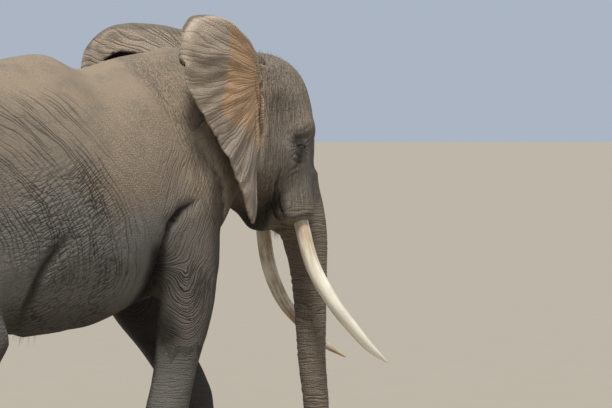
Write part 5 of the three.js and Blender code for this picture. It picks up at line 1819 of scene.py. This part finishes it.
class StageSettings(bpy.types.PropertyGroup):
    """Floor, sky and key light."""

    floor: colour("Floor", "Floor", (0.34, 0.30, 0.24))
    floor_dark: colour("Floor Shade", "Darker patches of the floor", (0.26, 0.22, 0.17))
    sky: colour("Sky", "Plain backdrop", (0.74, 0.84, 1.0))
    sky_light: number("Sky Light", "Strength of the backdrop's light", 0.55, min=0)
    key_colour: colour("Key Colour", "Colour of the key light", (1.0, 0.96, 0.89))
    key_light: number("Key Light", "Strength of the key light", 3.9, min=0)
    softness: number("Softness", "Angle that the key light fills, in degrees", 12, min=0)
    key_from: bpy.props.FloatVectorProperty(
        name="Key From", description="Direction towards the key light", subtype="DIRECTION",
        default=(-0.30, -0.36, 0.88),
    )


class BuildStep(bpy.types.Operator):
    """Shared part of the building steps."""

    bl_options = {"REGISTER", "UNDO"}


class ELEPHANT_OT_skin(BuildStep):
    """Builds the skin of body, head, trunk, ears, legs and tail"""

    bl_idname = "elephant.skin"
    bl_label = "Skin"

    def execute(self, context):
        build_skin(context.scene.elephant_hide)
        return {"FINISHED"}


class ELEPHANT_OT_tusks(BuildStep):
    """Builds both tusks"""

    bl_idname = "elephant.tusks"
    bl_label = "Tusks"

    def execute(self, context):
        build_tusks(context.scene.elephant_parts)
        return {"FINISHED"}


class ELEPHANT_OT_eyes(BuildStep):
    """Builds both eyeballs"""

    bl_idname = "elephant.eyes"
    bl_label = "Eyes"

    def execute(self, context):
        build_eyes(context.scene.elephant_parts)
        return {"FINISHED"}


class ELEPHANT_OT_nails(BuildStep):
    """Builds the toenails of all four feet"""

    bl_idname = "elephant.nails"
    bl_label = "Toenails"

    def execute(self, context):
        build_nails(context.scene.elephant_parts)
        return {"FINISHED"}


class ELEPHANT_OT_hair(BuildStep):
    """Builds the tail's tuft, the lashes and the bristles"""

    bl_idname = "elephant.hair"
    bl_label = "Hair"

    def execute(self, context):
        build_tuft(context.scene.elephant_hair)
        build_bristles(context.scene.elephant_hair)
        return {"FINISHED"}


class ELEPHANT_OT_stage(BuildStep):
    """Sets up floor, backdrop, light and camera"""

    bl_idname = "elephant.stage"
    bl_label = "Stage"

    def execute(self, context):
        build_stage(context.scene.elephant_stage)
        return {"FINISHED"}


STEPS = (
    ELEPHANT_OT_skin, ELEPHANT_OT_tusks, ELEPHANT_OT_eyes, ELEPHANT_OT_nails, ELEPHANT_OT_hair,
    ELEPHANT_OT_stage,
)
SETTINGS = {
    "elephant_hide": HideSettings,
    "elephant_parts": PartSettings,
    "elephant_hair": HairSettings,
    "elephant_stage": StageSettings,
}


class ELEPHANT_PT_build(bpy.types.Panel):
    """Lists the building steps and their settings"""

    bl_idname = "ELEPHANT_PT_build"
    bl_label = "Elephant"
    bl_space_type = "VIEW_3D"
    bl_region_type = "UI"
    bl_category = "Elephant"

    def draw(self, context):
        for operator in STEPS:
            self.layout.operator(operator.bl_idname)
        for name, kind in SETTINGS.items():
            box = self.layout.box()
            box.label(text=kind.__doc__)
            for key in kind.__annotations__:
                box.prop(getattr(context.scene, name), key)


def register():
    for kind in (*SETTINGS.values(), *STEPS, ELEPHANT_PT_build):
        bpy.utils.register_class(kind)
    for name, kind in SETTINGS.items():
        setattr(bpy.types.Scene, name, bpy.props.PointerProperty(type=kind))


def unregister():
    for name in SETTINGS:
        delattr(bpy.types.Scene, name)
    for kind in (ELEPHANT_PT_build, *reversed(STEPS), *reversed(SETTINGS.values())):
        bpy.utils.unregister_class(kind)


def main():
    """Registers the add-on and runs every step."""
    register()
    bpy.ops.elephant.stage()
    bpy.ops.elephant.skin()
    bpy.ops.elephant.tusks()
    bpy.ops.elephant.eyes()
    bpy.ops.elephant.nails()
    bpy.ops.elephant.hair()


if __name__ == "__main__":
    main()
